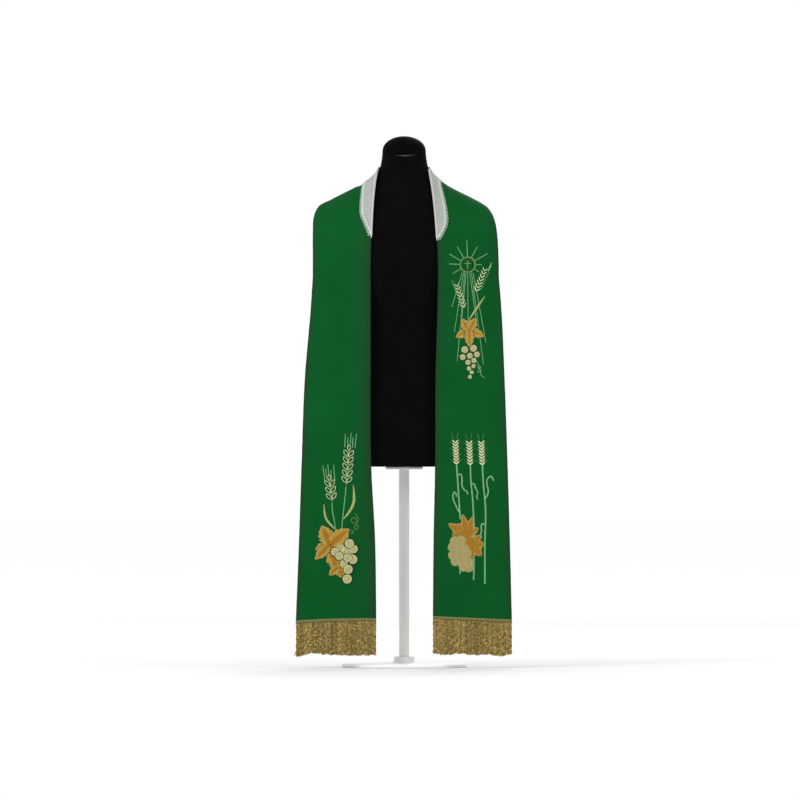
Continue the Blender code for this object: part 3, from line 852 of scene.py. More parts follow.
def face_lift(side, station, share):
    """Height of a panel's face over its underside: thicker where the edge is turned in."""
    width = np.interp(station, STATIONS, WIDTHS[side])
    length = np.interp(station, STATIONS, LENGTHS[side])
    from_edge = np.minimum(share, 1 - share) * width
    turned_in = 1 / (1 + np.exp((from_edge - TURNING) / (0.5 * MM)))
    fading = np.exp(-np.abs(from_edge) / PUCKER_WIDTH) * (station > 0.05)
    pucker = PUCKER * wander(length, side) * fading
    return CLOTH_THICK + turned_in * TURNING_LIFT + np.maximum(pucker, -0.1 * MM)


panels = {}
for side, name in ((-1, "stole_panel_right"), (1, "stole_panel_left")):
    inset = CLOTH_THICK / 2 / WIDTHS[side][:, None]
    share = inset + SHARES[None, :] * (1 - 2 * inset)
    station = np.broadcast_to(STATIONS[:, None], share.shape)
    face = on_cloth(side, station, share, face_lift(side, station, share))
    reverse = on_cloth(side, station, share, 0.0)
    rings = close_edges(face, reverse)
    flat = flat_map(share * WIDTHS[side][:, None], LENGTHS[side][:, None])
    panels[side] = skin(name + "_cloth", rings[None], green_cloth, flat[None])
    # Painted shade along both edges, widest on the right panel's inner edge.
    from_inner = np.clip(flat[..., 0], 0, None)
    from_outer = np.clip(WIDTHS[side][:, None] - flat[..., 0], 0, None)
    edge_shade = np.maximum(np.exp(-from_inner / EDGE_SHADE_INNER[side]), np.exp(-from_outer / EDGE_SHADE_OUTER))
    mark(panels[side], "painted_edge_shade", EDGE_SHADE_MOST * edge_shade)
    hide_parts(name)
    print(panels[side].name, len(panels[side].data.polygons), "faces")

# %% [markdown]
# ## The neck band
#
# The band keeps the cloth clean: white cotton that is tacked over the neckline and comes off
# for washing. Its inner edge is a roll over the stole's own edge, which stands a little proud
# and catches the light. The outer edge curves in to a rounded tip on either side, and as it is
# put on by hand the two sides differ. It is one strip from tip to tip, on the panels' faces,
# and it ripples a little towards its outer edge, where tacking draws it in.

# %% The band's shape
BAND_THICK = 0.0012
LACE_WIDTH = 0.0070
BAND_OVERHANG = 0.012
RIPPLE = 0.15 * MM
RIPPLE_PITCH = 0.009
BAND_OUTLINE = {
    # station, and share of the panel's width that the cotton covers there
    -1: (
        (-1.0, 0.252), (-0.5, 0.230), (0.0, 0.203), (0.3, 0.196), (0.45, 0.190), (0.54, 0.181),
        (0.58, 0.168), (0.61, 0.146), (0.645, 0.116), (0.68, 0.086), (0.71, 0.060), (0.74, 0.034),
        (0.765, 0.010), (0.774, 0.0),
    ),
    1: (
        (-1.0, 0.252), (-0.5, 0.217), (0.0, 0.163), (0.22, 0.135), (0.35, 0.144), (0.45, 0.157),
        (0.55, 0.166), (0.62, 0.165), (0.66, 0.150), (0.70, 0.120), (0.735, 0.083), (0.765, 0.048),
        (0.782, 0.022), (0.79, 0.0),
    ),
}
BAND_END = {-1: 0.772, 1: 0.789}
BAND_COLUMNS = np.linspace(0, 1, 21) ** 1.3


def band_rows(side):
    """The stations of the band's rows, closer together towards its tip."""
    return -1 + (BAND_END[side] + 1) * np.sin(np.linspace(0, math.pi / 2, 150))


def band_edge(side, station):
    """Share of the panel's width where the band ends and its lace starts."""
    return np.maximum(along(BAND_OUTLINE[side], station, 1), 0.004)


def band_half(side):
    """Face, reverse and flat place of the band on one side, from the centre of the back."""
    station = band_rows(side)[:, None]
    share = -BAND_OVERHANG + (band_edge(side, station) + BAND_OVERHANG) * BAND_COLUMNS
    station = np.broadcast_to(station, share.shape)
    width = np.interp(station, STATIONS, WIDTHS[side])
    length = np.interp(station, STATIONS, LENGTHS[side])
    ripple = np.sin(length / RIPPLE_PITCH * 2 * math.pi + 2 * wander(length, side))
    ripple = RIPPLE * (1 + ripple) * BAND_COLUMNS**2
    under = face_lift(side, station, share) + GAP
    face = on_cloth(side, station, share, under + BAND_THICK + ripple)
    reverse = on_cloth(side, station, share, under)
    return face, reverse, (share + BAND_OVERHANG) * width, length * side


whole = [np.concatenate([right[::-1], left]) for right, left in zip(band_half(-1), band_half(1))]
face, reverse, across, length = whole
rings = close_edges(face, reverse)
band = skin("neck_band_cotton", rings[None], white_cotton, flat_map(across, length)[None])
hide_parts("neck_band")

# %% The rolled edge
BINDING_WIDE = 2.0 * MM
BINDING_THICK = 2.3 * MM
BINDING_LIFT = 2.2 * MM
BINDING_OVERHANG = 0.6 * MM
PAST_TIP = 0.018  # how much further than the cotton the roll runs, in stations
TAPER = 0.02
ROLL_TURNS = np.linspace(0, 2 * math.pi, 14, endpoint=False)
# The roll's cotton is painted lighter than the band's, as a painted highlight for the light its
# round top catches.
BINDING_HIGHLIT_WHITE = (0.50, 0.51, 0.485)
binding_cotton = finish("binding_white_highlit", BINDING_HIGHLIT_WHITE, 0.85, Specular_IOR_Level=0.2)
weave(binding_cotton, 0.5 * MM, 0.4)


def binding_half(side):
    """Rings round the roll over the stole's inner edge, from the centre of the back."""
    station = np.append(band_rows(side), BAND_END[side] + PAST_TIP)[:, None]
    shrink = np.clip((station[-1] - station) / TAPER, 0.5, 1)
    width = np.interp(station, STATIONS, WIDTHS[side])
    share = (BINDING_WIDE * shrink * np.cos(ROLL_TURNS) - BINDING_OVERHANG) / width
    lift = BINDING_LIFT + BINDING_THICK * shrink * np.sin(ROLL_TURNS)
    return on_cloth(side, station, share, lift)


roll = np.concatenate([binding_half(-1)[::-1], binding_half(1)])
around = np.broadcast_to(ROLL_TURNS * BINDING_WIDE, roll.shape[:2])
along_roll = np.broadcast_to(run_length(roll[:, 3])[:, None], roll.shape[:2])
flat = np.stack([around, along_roll], axis=-1)
binding = skin("neck_band_roll", roll[None], binding_cotton, flat[None])
print("roll:", len(binding.data.polygons), "faces")

# %% [markdown]
# ## A thread
#
# Lace, fringe and embroidery are all thread. A thread is a small round section carried along a
# path. Threads go to the skin helper in hundreds, and flat stitches will go to it in thousands.
# That stays quick, because it works on whole arrays.

# %% Thread helpers


def unit(vectors):
    """The same directions with a length of 1."""
    return vectors / np.maximum(np.linalg.norm(vectors, axis=-1, keepdims=True), 1e-12)


def thread_rings(paths, up, radius, sides=5):
    """Rings round threads. Paths are threads x points x 3, and up is a direction for each."""
    ahead = unit(np.gradient(paths, axis=1))
    over = unit(np.cross(ahead, np.broadcast_to(up, paths.shape)))
    rise = np.cross(over, ahead)
    turn = np.linspace(0, 2 * math.pi, sides, endpoint=False)
    around = over[:, :, None] * np.cos(turn)[:, None] + rise[:, :, None] * np.sin(turn)[:, None]
    return paths[:, :, None] + around * radius


# %% [markdown]
# ## The lace edge
#
# Narrow lace is sold by length. It has a close foot, which is sewn flat on the cotton's edge,
# and beyond the foot each scallop is a round arch of thread with a smaller one in it, joined
# by bars. The scallops are set out by length along the band's own edge, and each is square to
# it, so that they fan out evenly round the tips. Long tacking stitches beside the foot hold
# the band on the stole, and are cut when it goes to the wash.

# %% The lace
SCALLOPS = 44
LACE_LIFT = 0.8 * MM
LACE_STEPS = 400
LACE_THREAD = 0.62 * MM
ARCHES = (
    # how far out it reaches, half its width as a share of a scallop, radius of its thread
    (LACE_WIDTH - LACE_THREAD, 0.40, LACE_THREAD),
    (LACE_WIDTH * 0.46, 0.21, 0.4 * MM),
)
BAR_TURNS = np.radians((45, 135))
BAR_THREAD = 0.3 * MM
FOOT_CORDS = (-3.0, -2.1, -1.2, -0.3, 0.6)
FOOT_THREAD = 0.5 * MM
FOOT_STEPS = 240
TACKS = 30
TACK_PLACE = -5.4 * MM


def lace_line(side):
    """Place, direction and normal along the band's edge, at even steps of length."""
    station = band_rows(side)
    share = band_edge(side, station)
    place = on_cloth(side, station, share, face_lift(side, station, share) + LACE_LIFT)
    normal = read_grid(NORMALS[side], station, np.clip(share, 0, 1))
    length = run_length(place)
    even = np.linspace(0, length[-1], LACE_STEPS)
    place = np.stack([np.interp(even, length, part) for part in place.T], axis=-1)
    normal = np.stack([np.interp(even, length, part) for part in normal.T], axis=-1)
    return even, place, unit(normal)


def lace_on(side, line, run, out, lift=0.0):
    """Points beside the band's edge: run along it, out from it and up from it, in metres."""
    even, place, normal = line
    ahead = unit(np.gradient(place, axis=0))
    outwards = np.cross(normal, ahead) * side
    read = []
    for rows in (place, outwards, normal):
        read.append(np.stack([np.interp(run, even, part) for part in rows.T], axis=-1))
    lift = np.broadcast_to(lift, run.shape)
    return read[0] + read[1] * out[..., None] + read[2] * lift[..., None]


def lace_threads(side):
    """Rings of every thread of one side's lace, and of its tacking stitches."""
    line = lace_line(side)
    pitch = line[0][-1] / SCALLOPS
    middles = (np.arange(SCALLOPS)[:, None] + 0.5) * pitch
    up = np.array((0.0, -0.3, 1.0))
    made = []
    for reach, half, radius in ARCHES:
        turn = np.linspace(0, math.pi, 13)
        out = np.tile(np.sin(turn) * reach, (SCALLOPS, 1))
        paths = lace_on(side, line, middles + np.cos(turn) * pitch * half, out)
        made.append(thread_rings(paths, up, radius))
    for turn in BAR_TURNS:
        share = np.linspace(0.5, 0.97, 3)
        run = middles + math.cos(turn) * pitch * between(0.22, 0.38, (share - 0.5) / 0.47)
        out = np.tile(math.sin(turn) * LACE_WIDTH * share, (SCALLOPS, 1))
        made.append(thread_rings(lace_on(side, line, run, out), up, BAR_THREAD))
    run = np.linspace(0, line[0][-1], FOOT_STEPS)[None]
    for out in FOOT_CORDS:
        lift = 1.2 * MM if out < 0 else 0.2 * MM
        path = lace_on(side, line, run, np.full_like(run, out * MM), lift)
        made.append(thread_rings(path, up, FOOT_THREAD))
    start = (np.arange(TACKS)[:, None] + 0.3) * line[0][-1] / TACKS
    stitch = np.linspace(0, 1, 6)
    lift = between(0.4, 1.3, np.sin(stitch * math.pi)) * MM
    run = start + stitch * 5 * MM
    path = lace_on(side, line, run, np.full_like(run, TACK_PLACE), lift)
    made.append(thread_rings(path, up, BAR_THREAD))
    return made


threads = lace_threads(-1) + lace_threads(1)
lace = join([skin("neck_band_lace_edge", rings, lace_thread) for rings in threads])
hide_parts("neck_band_lace")
print("lace:", 2 * SCALLOPS, "scallops,", len(lace.data.polygons), "faces")

# %% [markdown]
# ## The fringe
#
# Bullion fringe is a trimming: cords of twisted gold thread that hang in loops from a narrow
# woven heading. The worn cords crinkle and cling together in small bunches, and they end at
# uneven heights, which also drift over the width, as the hem isn't quite level. So each loop
# waves in step with its bunch and leans towards its middle, and has a length of its own. Two
# layers of loops hang before two layers of plain cords, which close the gaps and are painted
# darker, as painted shade behind the loops. A point's depth says how dark its gold is: each
# loop has a darkness of its own, and painted shade darkens it in patches along its waves, to
# stand for where it dives behind others. One thread has worked loose at a corner and sticks out.

# %% The fringe's shape
FRINGE_BOTTOM = 0.0300
TRIMMED = {
    # share of the panel's width, and how many millimetres the fringe ends higher there
    -1: ((0.0, -1.0), (0.4, -2.0), (0.65, 0.5), (0.85, 1.5), (0.92, -3.5), (1.0, -4.5)),
    1: (
        (0.0, 4.5), (0.06, 1.0), (0.25, 0.5), (0.35, 2.5),
        (0.5, -1.5), (0.7, 0.5), (0.85, -4.5), (1.0, 1.5),
    ),
}
HEADING_HEIGHT = 0.0105
HEADING_THICK = 0.0022
LOOPS = 31
LOOP_POINTS = 84
LOOP_HALF = 1.45 * MM
LOOP_WIDE = 0.88 * MM
LOOP_NARROW = 0.60 * MM
CORDS = 72
CORD_POINTS = 17
CORD_WIDE = 1.35 * MM
CORD_NARROW = 0.9 * MM
TWIST = 11 * MM
BUNCH = 6.3 * MM
GOLDEN_ANGLE = 2.39996
PULL = (0.45, 0.3, 0.0, 0.0)  # how much each layer leans towards its bunch's middle
WRAPS = 150


def under_hem(side, share, down, out):
    """Points under the hem, carried straight down and moved towards the front."""
    points = on_cloth(side, STATIONS[-1], share, out)
    points[..., 2] -= down
    return points


def loop_shape(length, count):
    """How far aside and how far down: down one leg, round the end and up the other."""
    leg = length - LOOP_HALF
    total = 2 * leg + math.pi * LOOP_HALF
    run = np.linspace(0, 1, count) * total
    turn = np.clip((run - leg) / LOOP_HALF, 0, math.pi)
    down = np.minimum(np.minimum(run, total - run), leg)
    return -LOOP_HALF * np.cos(turn), down + LOOP_HALF * np.sin(turn)


def fringe_layer(side, layer, rng):
    """Rings of one layer's cords, and how dark the gold is at each ring."""
    looped = layer < 2
    count = LOOPS if looped else CORDS
    loose = 1.0 if looped else 0.3
    shift = rng.uniform(-0.12, 0.12, count) * loose
    share = (np.arange(count) + 0.25 + 0.5 * (layer % 2) + shift) / count
    share = between(0.004, 0.996, share)
    root = under_hem(side, share, HEADING_HEIGHT * 0.72, HEADING_THICK / 2)
    place = share * WIDTHS[side][-1]
    bunch = np.floor(place / BUNCH + 0.3 * np.sin(place / 0.021))
    phase = (bunch * GOLDEN_ANGLE + rng.normal(0, 0.9, count))[:, None]
    pitch = ((15 + 4 * np.sin(bunch * 1.7) + rng.uniform(-2, 2, count)) * MM)[:, None]
    uneven = 0.6 + 1.8 * np.sin(bunch * 4.1) ** 2 + rng.uniform(0, 2.2, count) + (not looped)
    uneven = (uneven + along(TRIMMED[side], share, 1)) * MM
    length = (root[:, 2] - FRINGE_BOTTOM - uneven)[:, None]
    if looped:
        aside, down = loop_shape(length, LOOP_POINTS)
    else:
        down = np.linspace(0, 1, CORD_POINTS) * length
        aside = np.zeros_like(down)
    swing = (0.4 + 0.6 * down / length) * 1.6 * MM * loose
    wave = down / pitch * 2 * math.pi + phase
    middle = (bunch + 0.5) * BUNCH
    astray = rng.normal(0, 0.5 * MM, count) * loose
    lean = np.clip(middle - place, -3 * MM, 3 * MM) * PULL[layer] + astray
    lean = lean[:, None] * down / length
    x = root[:, :1] + side * (lean + aside) + swing * np.sin(wave)
    y = root[:, 1:2] + (layer - 2) * 1.2 * MM + 0.6 * swing * np.cos(wave * 0.83)
    z = root[:, 2:] - down
    spin = (down / TWIST * 2 * math.pi + phase)[..., None] * looped
    turn = np.linspace(0, 2 * math.pi, 5, endpoint=False)
    wide = np.cos(turn) * (LOOP_WIDE if looped else CORD_WIDE)
    narrow = np.sin(turn) * (LOOP_NARROW if looped else CORD_NARROW)
    ring_x = x[..., None] + wide * np.cos(spin) - narrow * np.sin(spin)
    ring_y = y[..., None] + wide * np.sin(spin) + narrow * np.cos(spin)
    rings = np.stack([ring_x, ring_y, np.broadcast_to(z[..., None], ring_x.shape)], axis=-1)
    # Painted shade: patches along each loop's waves, and the rear cords darker all over. The random
    # part is each loop's own tone.
    patches = 0.18 * (1 + np.sin(wave * 1.9 + place[:, None] * 4000))
    depth = rng.uniform(0.0, 0.42, count)[:, None] + patches
    return rings, depth if looped else np.full_like(down, 0.85)


def heading_rings(side):
    """The woven heading: a plain strip under the hem with a round edge above and below."""
    share = np.linspace(0, 1, 60)[:, None]
    down = np.linspace(GAP, HEADING_HEIGHT, 9)[None, :]
    share, down = np.broadcast_arrays(share, down)
    face = under_hem(side, share, down, HEADING_THICK)
    return close_edges(face, under_hem(side, share, down, 0.0))


def heading_wraps(side):
    """Slanted wraps over the top of the heading, and a cord on either side of them."""
    share = np.linspace(0.002, 0.998, WRAPS)[:, None]
    run = np.linspace(0, 1, 6)[None, :]
    lean = 1.0 * MM / WIDTHS[side][-1]
    down = between(0.0012, 0.0048, run)
    lift = HEADING_THICK + 0.4 * MM * np.sin(run * math.pi)
    wraps = under_hem(side, share + lean * (run - 0.5), down, lift)
    front = np.array((0.0, -1.0, 0.0))
    made = [thread_rings(wraps, front, 0.5 * MM)]
    cord = np.linspace(0, 1, 150)[None, :]
    for down, radius in ((0.0010, 0.9 * MM), (0.0050, 0.7 * MM)):
        path = under_hem(side, cord, down, HEADING_THICK * 0.8)
        made.append(thread_rings(path, front, radius, 6))
    return made


# %% The gold
GOLD = (0.70, 0.53, 0.17)
PALE_GOLD = (0.25, 0.25, 0.095)
# The darkest gold: the fringe's painted shade, and the whole colour of the heading's strip and of
# the loose thread.
DEEP_GOLD = (0.10, 0.068, 0.020)
gold_thread = finish("fringe_gold", GOLD, 0.42, Metallic=0.6, Specular_IOR_Level=0.4)
mottle(gold_thread, GOLD, 0.75, 420, 3.0)
fade_to(gold_thread, "depth", DEEP_GOLD)
pale_gold = finish("heading_gold", PALE_GOLD, 0.45, Metallic=0.6, Specular_IOR_Level=0.4)
mottle(pale_gold, PALE_GOLD, 0.15, 200)
fade_to(pale_gold, "depth", DEEP_GOLD)
print("gold:", gold_thread.name, "and", pale_gold.name)

# %% The cords and the headings
rng = np.random.default_rng(31)
for side, name in ((-1, "fringe_right"), (1, "fringe_left")):
    layers = []
    for layer in range(4):
        # Depth darkens the gold, mostly as painted shade.
        rings, depth = fringe_layer(side, layer, rng)
        layers.append(skin(name + "_cords", rings, gold_thread))
        mark(layers[-1], "depth", np.repeat(depth, rings.shape[2]))
    join(layers)
    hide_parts(name)
    strip = skin(name + "_heading", heading_rings(side)[None], pale_gold)
    mark(strip, "depth", np.ones(len(strip.data.vertices)))
    wraps = [skin(name + "_wraps", rings, pale_gold) for rings in heading_wraps(side)]
    join([strip, *wraps])

# %% A loose thread
LOOSE_FROM = np.array((-0.2525, -0.112, 0.048))
LOOSE_TO = np.array((-0.2650, -0.113, 0.0312))
run = np.linspace(0, 1, 12)[:, None]
bend = np.array((0.0, 0.0, 0.0015)) * np.sin(run * 5)
loose = between(LOOSE_FROM, LOOSE_TO, run) + bend
rings = thread_rings(loose[None], np.array((0.0, -1.0, 0.0)), 0.7 * MM)
stray = skin("fringe_right_loose_thread", rings, gold_thread)
mark(stray, "depth", np.ones(len(stray.data.vertices)))
print("one thread has worked loose at the right fringe's outer corner")

# %% [markdown]
# ## Embroidery
#
# Machine embroidery of this kind is satin stitch: glossy thread laid side by side across a
# shape, from one edge to the other. Lines are very narrow satin, kernels are pointed ovals, a
# grape is a disc. A vine leaf is a few toothed lobes, each filled from its rib outwards with
# stitches that lean towards its tip, in two shades whose ends mesh unevenly. So all the motifs
# come from a handful of small functions. They work in millimetres on flat cloth, and the
# stitches are then laid on the hanging panel.

# %% Stitches on flat cloth
THREAD = 0.60  # from one stitch to the next
LINE_PITCH = 0.90  # the same in a narrow line


def bearing(angle):
    """A step of one millimetre at an angle, counted from sideways towards up."""
    return np.array((math.cos(math.radians(angle)), math.sin(math.radians(angle))))


def curve(points, step=1.0):
    """A smooth line through a few points, in even steps."""
    points = np.array(points, float)
    rows = np.column_stack([run_length(points), points])
    even = np.linspace(0, rows[-1, 0], max(8, round(rows[-1, 0] / step)))
    return np.stack([along(rows, even, 1), along(rows, even, 2)], axis=-1)


def beside(path, offset):
    """A path's points moved to its left."""
    ahead = unit(np.gradient(path, axis=0))
    left = np.stack([-ahead[:, 1], ahead[:, 0]], axis=-1)
    return path + left * np.broadcast_to(offset, len(path))[:, None]


def satin(left, right, pitch=THREAD):
    """Stitches from one rail to the other, side by side."""
    length = run_length((left + right) / 2)
    even = np.linspace(0, length[-1], max(3, round(length[-1] / pitch)))
    rails = [[np.interp(even, length, rail[:, axis]) for axis in (0, 1)] for rail in (left, right)]
    return np.transpose(rails, (2, 0, 1))


def line(points, width=2.2, tip=1.0):
    """A narrow satin line. Its end has a share of the width, and its stitches slant."""
    path = curve(points)
    half = width / 2 * np.linspace(1, tip, len(path)) ** 0.7
    return satin(beside(path, half)[:-1], beside(path, -half)[1:], LINE_PITCH)


def blade(points, width):
    """A narrow leaf on a curve: widest in the middle, with a point at both ends."""
    path = curve(points)
    half = width / 2 * np.sin(np.linspace(0.06, 0.97, len(path)) * math.pi) ** 0.8
    return satin(beside(path, half)[:-2], beside(path, -half)[2:])


def oval(base, tip, width):
    """A pointed oval, filled across."""
    path = np.linspace(base, tip, 20)
    half = width / 2 * np.sin(np.linspace(0.05, 1, 20) * math.pi) ** 0.7
    return satin(beside(path, half)[:-2], beside(path, -half)[2:])


def oval_outline(base, tip, width, line_width=1.6):
    """A pointed oval that stays open: only its edge is sewn."""
    path = np.linspace(base, tip, 16)
    half = width / 2 * np.sin(np.linspace(0, 1, 16) * math.pi) ** 0.8
    return [line(beside(path, half), line_width), line(beside(path, -half), line_width)]


def disc(centre, radius, angle=0.5):
    """A filled circle, its stitches at an angle."""
    share = np.linspace(-0.97, 0.97, 30)
    half = np.sqrt(1 - share**2)
    turn = np.array(((math.cos(angle), math.sin(angle)), (-math.sin(angle), math.cos(angle))))
    rails = [np.stack([reach, share], axis=-1) @ turn * radius + centre for reach in (-half, half)]
    return satin(*rails)


def ring(centre, radius, width, start=0.0, end=360.0):
    """A circle or an arc as a line."""
    turn = np.radians(np.linspace(start, end, 40))
    return line(np.stack([np.cos(turn), np.sin(turn)], axis=-1) * radius + centre, width)


# %% Ears, leaves and tendrils
def ear(base, angle, pairs, pitch, arm, spread, width, sizes=(1.0, 0.75)):
    """Pairs of kernels up a stalk. Sizes are shares of the arm at the foot and at the top."""
    made = []
    for number in range(pairs):
        foot = base + bearing(angle) * pitch * number
        reach = arm * between(*sizes, min(1, number / (pairs - 1)))
        for side in (1, -1):
            made.append(oval(foot, foot + bearing(angle + side * spread) * reach, width))
    return made


def open_ear(base, angle, pairs, pitch, arm, spread, width):
    """The same with kernels that are only outlined. Small filled ones on the stalk come second."""
    made = []
    middles = []
    for number in range(pairs):
        foot = base + bearing(angle) * pitch * number
        middles.append(oval(foot - bearing(angle) * 4, foot + bearing(angle) * 8, 2.6))
        for side in (1, -1):
            root = foot + bearing(angle) * 1.5 + bearing(angle + side * 90) * 0.8
            made += oval_outline(root, foot + bearing(angle + side * spread) * arm, width)
    top = base + bearing(angle) * (pitch * pairs - 2)
    return made + oval_outline(top, top + bearing(angle) * arm * 0.8, width * 0.8), middles


def lobe(heart, angle, length, width, teeth, heat, rim):
    """A toothed lobe. Heat is the warm shade's share, and rim how far out the edge is sewn."""
    share = np.linspace(0, 1, 70)
    rib = heart + bearing(angle) * (share * length)[:, None]
    tooth = 1 + 0.36 * ((share * teeth) % 1 - 0.6) * (share > 0.12)
    half = width / 2 * np.sin(share**0.8 * math.pi) ** (0.5 + 0.4 * share) * tooth
    edges = [beside(rib, half), beside(rib, -half)]
    uneven = heat * (1 + 0.3 * np.sin(np.arange(63) * 2.4))[:, None]
    middles = [between(rib[:-7], edge[7:], uneven) for edge in edges]
    border = np.concatenate([edges[0][6:], edges[1][6:-1][::-1]])
    return {
        # The shade line is painted shade: a dark band just outside the lobe's border, partly under
        # its pale edge.
        "shade": [satin(beside(border, rim + 1.4), beside(border, rim - 0.1), LINE_PITCH)],
        "fill": [satin(middle, edge[7:]) for middle, edge in zip(middles, edges)],
        "warm": [satin(rib[:-7], middle) for middle in middles],
        "rib": [line(rib[2:56:6], 1.2, 0.4)],
        "edge": [satin(beside(border, rim), beside(border, rim - 1.9), LINE_PITCH)],
    }


def tendril(loops, tail):
    """A curly line: loops from rows of (x, y, radius), each touching the next, and a tail."""
    return [ring((x, y), radius, 1.3) for x, y, radius in loops] + [line(tail, 1.4, 0.6)]


# %% [markdown]
# ## Laying the stitches
#
# A stitch comes up through the cloth, lies over it and goes down again. It is cut at four
# places, or at three if it is short, and a ray from the front finds the cloth under each of
# them. There it gets a small ridge, in the cloth at both ends and raised between them, so that
# the light runs along the satin. Short ones go into pieces of their own, called fine. What is
# sewn later lies over what is sewn already, so each call says how high its stitches start. A
# padded grape is a low dome.

# %% Laying the stitches
CLOTH_TREES = {
    side: BVHTree.FromPolygons(
        [vertex.co for vertex in panel.data.vertices],
        [tuple(face.vertices) for face in panel.data.polygons],
    )
    for side, panel in panels.items()
}
CUTS = {
    # places along a stitch, and how high it stands there
    "": ((0.0, 0.28, 0.72, 1.0), (0.25, 1.0, 1.0, 0.25)),
    "_fine": ((0.0, 0.5, 1.0), (0.35, 1.0, 0.35)),
}
FINE_BELOW = 2.4
SHORTEST = 0.3
HALF_STITCH = 0.56  # half a stitch's width, as a share of the step to the next one
RIDGE = 0.32
sewn = {}


def find_cloth(side, places):
    """Point and normal of the cloth behind each (x, z)."""
    back = Vector((0, 1, 0))
    found = [CLOTH_TREES[side].ray_cast(Vector((x, -1.0, z)), back)[:2] for x, z in places]
    return np.array([hit[0] for hit in found]), np.array([hit[1] for hit in found])


def sew(side, origin, thread, parts, lift=0.0, height=0.62, dome=(0, 1, 0)):
    """Lays stitches, in mm from an origin in metres, on a panel. A dome is middle, radius, rise."""
    stitches = np.concatenate(parts)
    length = np.linalg.norm(stitches[:, 1] - stitches[:, 0], axis=1)
    middle, radius, rise = dome
    for kind, (share, crown) in CUTS.items():
        chosen = stitches[(length > SHORTEST) & ((length < FINE_BELOW) == (kind == "_fine"))]
        if not len(chosen):
            continue
        cuts = between(chosen[:, :1], chosen[:, 1:], np.array(share)[None, :, None])
        away = np.linalg.norm(cuts - middle, axis=2) / radius
        swell = lift + rise * np.sqrt(np.maximum(1 - away**2, 0)) + height * np.array(crown)
        place, up = find_cloth(side, (cuts * MM + np.array(origin)).reshape(-1, 2))
        place, up = place.reshape(*cuts.shape[:2], 3), up.reshape(*cuts.shape[:2], 3)
        ahead = unit(place[:, -1:] - place[:, :1])
        over = unit(np.cross(up, ahead)) * HALF_STITCH * THREAD * MM
        top = up * swell[..., None] * MM
        foot = top - up * RIDGE * MM
        rings = np.stack([place - over + foot, place + top, place + over + foot], axis=2)
        sewn.setdefault((side, thread + kind), []).append(rings)


def count_sewn():
    """How many stitches have been sewn so far."""
    return sum(len(rings) for parts in sewn.values() for rings in parts)


def thread_finish(name, colour):
    """Glossy thread, a little uneven in its dye."""
    made = finish(name, colour, 0.45, Specular_IOR_Level=0.3)
    mottle(made, colour, 0.14, 350)
    return made


THREADS = {
    "pale_green": thread_finish("thread_pale_green", (0.25, 0.50, 0.25)),
    "sage": thread_finish("thread_sage", (0.19, 0.29, 0.10)),
    "cream": thread_finish("thread_cream", (0.62, 0.67, 0.40)),
    "ivory": thread_finish("thread_ivory", (0.44, 0.41, 0.20)),
    "straw": thread_finish("thread_straw", (0.36, 0.39, 0.14)),
    "gold": thread_finish("thread_gold", (0.43, 0.28, 0.045)),
    "amber": thread_finish("thread_amber", (0.36, 0.17, 0.014)),
    "tan": thread_finish("thread_tan", (0.40, 0.31, 0.13)),
    # A dark thread for painted shade: lines round lobes and grapes, where shade falls between
    # parts.
    "umber": thread_finish("thread_umber", (0.060, 0.055, 0.018)),
}
print("threads:", ", ".join(THREADS))


def sew_leaf(side, origin, lobes, fill, warm, heat, parted=True):
    """A leaf from rows of (x, y, angle, length, width, teeth). Parted lobes lie over each other."""
    rim = 0.5 if parted else 1.4
    # The shade layer, in the dark thread, is painted shade round each lobe.
    layers = (
        ("shade", "umber", 0.0, 0.65 if parted else 0.45),
        ("edge", "straw", 0.35 if parted else 0.0, 0.55),
        ("fill", fill, 0.0, 0.70),
        ("warm", warm, 0.05, 0.72),
        ("rib", warm, 0.45, 0.45),
    )
    grown = [lobe(np.array((x, y)), *rest, heat, rim) for x, y, *rest in lobes]
    for part, thread, lift, height in layers:
        for number, parts in enumerate(grown):
            sew(side, origin, thread, parts[part], lift + 0.25 * number * parted, height)


def sew_grapes(side, origin, grapes, fill, edge, outline, rise):
    """Grapes from rows of (x, y, radius, layer): a dome with an outline, a rim and a curl."""
    for number, (x, y, radius, layer) in enumerate(grapes):
        lift = 0.7 * layer
        dome = ((x, y), radius, rise)
        # In the dark thread this outline is painted shade round each grape. In a pale one it is a
        # plain outline.
        sew(side, origin, outline, [ring((x, y), radius + 0.6, 2.6)], lift, 0.6)
        sew(side, origin, fill, [disc((x, y), radius, 0.5 + 0.9 * number)], lift, 0.65, dome)
        sew(side, origin, edge, [ring((x, y), radius * 0.89, 1.7)], lift + 0.35, 0.5, dome)
        curl = ring((x, y), radius * 0.42, 1.1, 60 + 40 * number, 300 + 40 * number)
        sew(side, origin, "tan", [curl], lift + 0.5, 0.3, dome)


# %% [markdown]
# ## The motif on the left breast
#
# A small sun stands for the host: a ring with short rays, and long beams that fall from it on
# an ear of wheat to either side, a vine leaf and a bunch of grapes. Monograms are often sewn
# inside the ring. This one has a plain small cross. Distances are from the ring's centre.

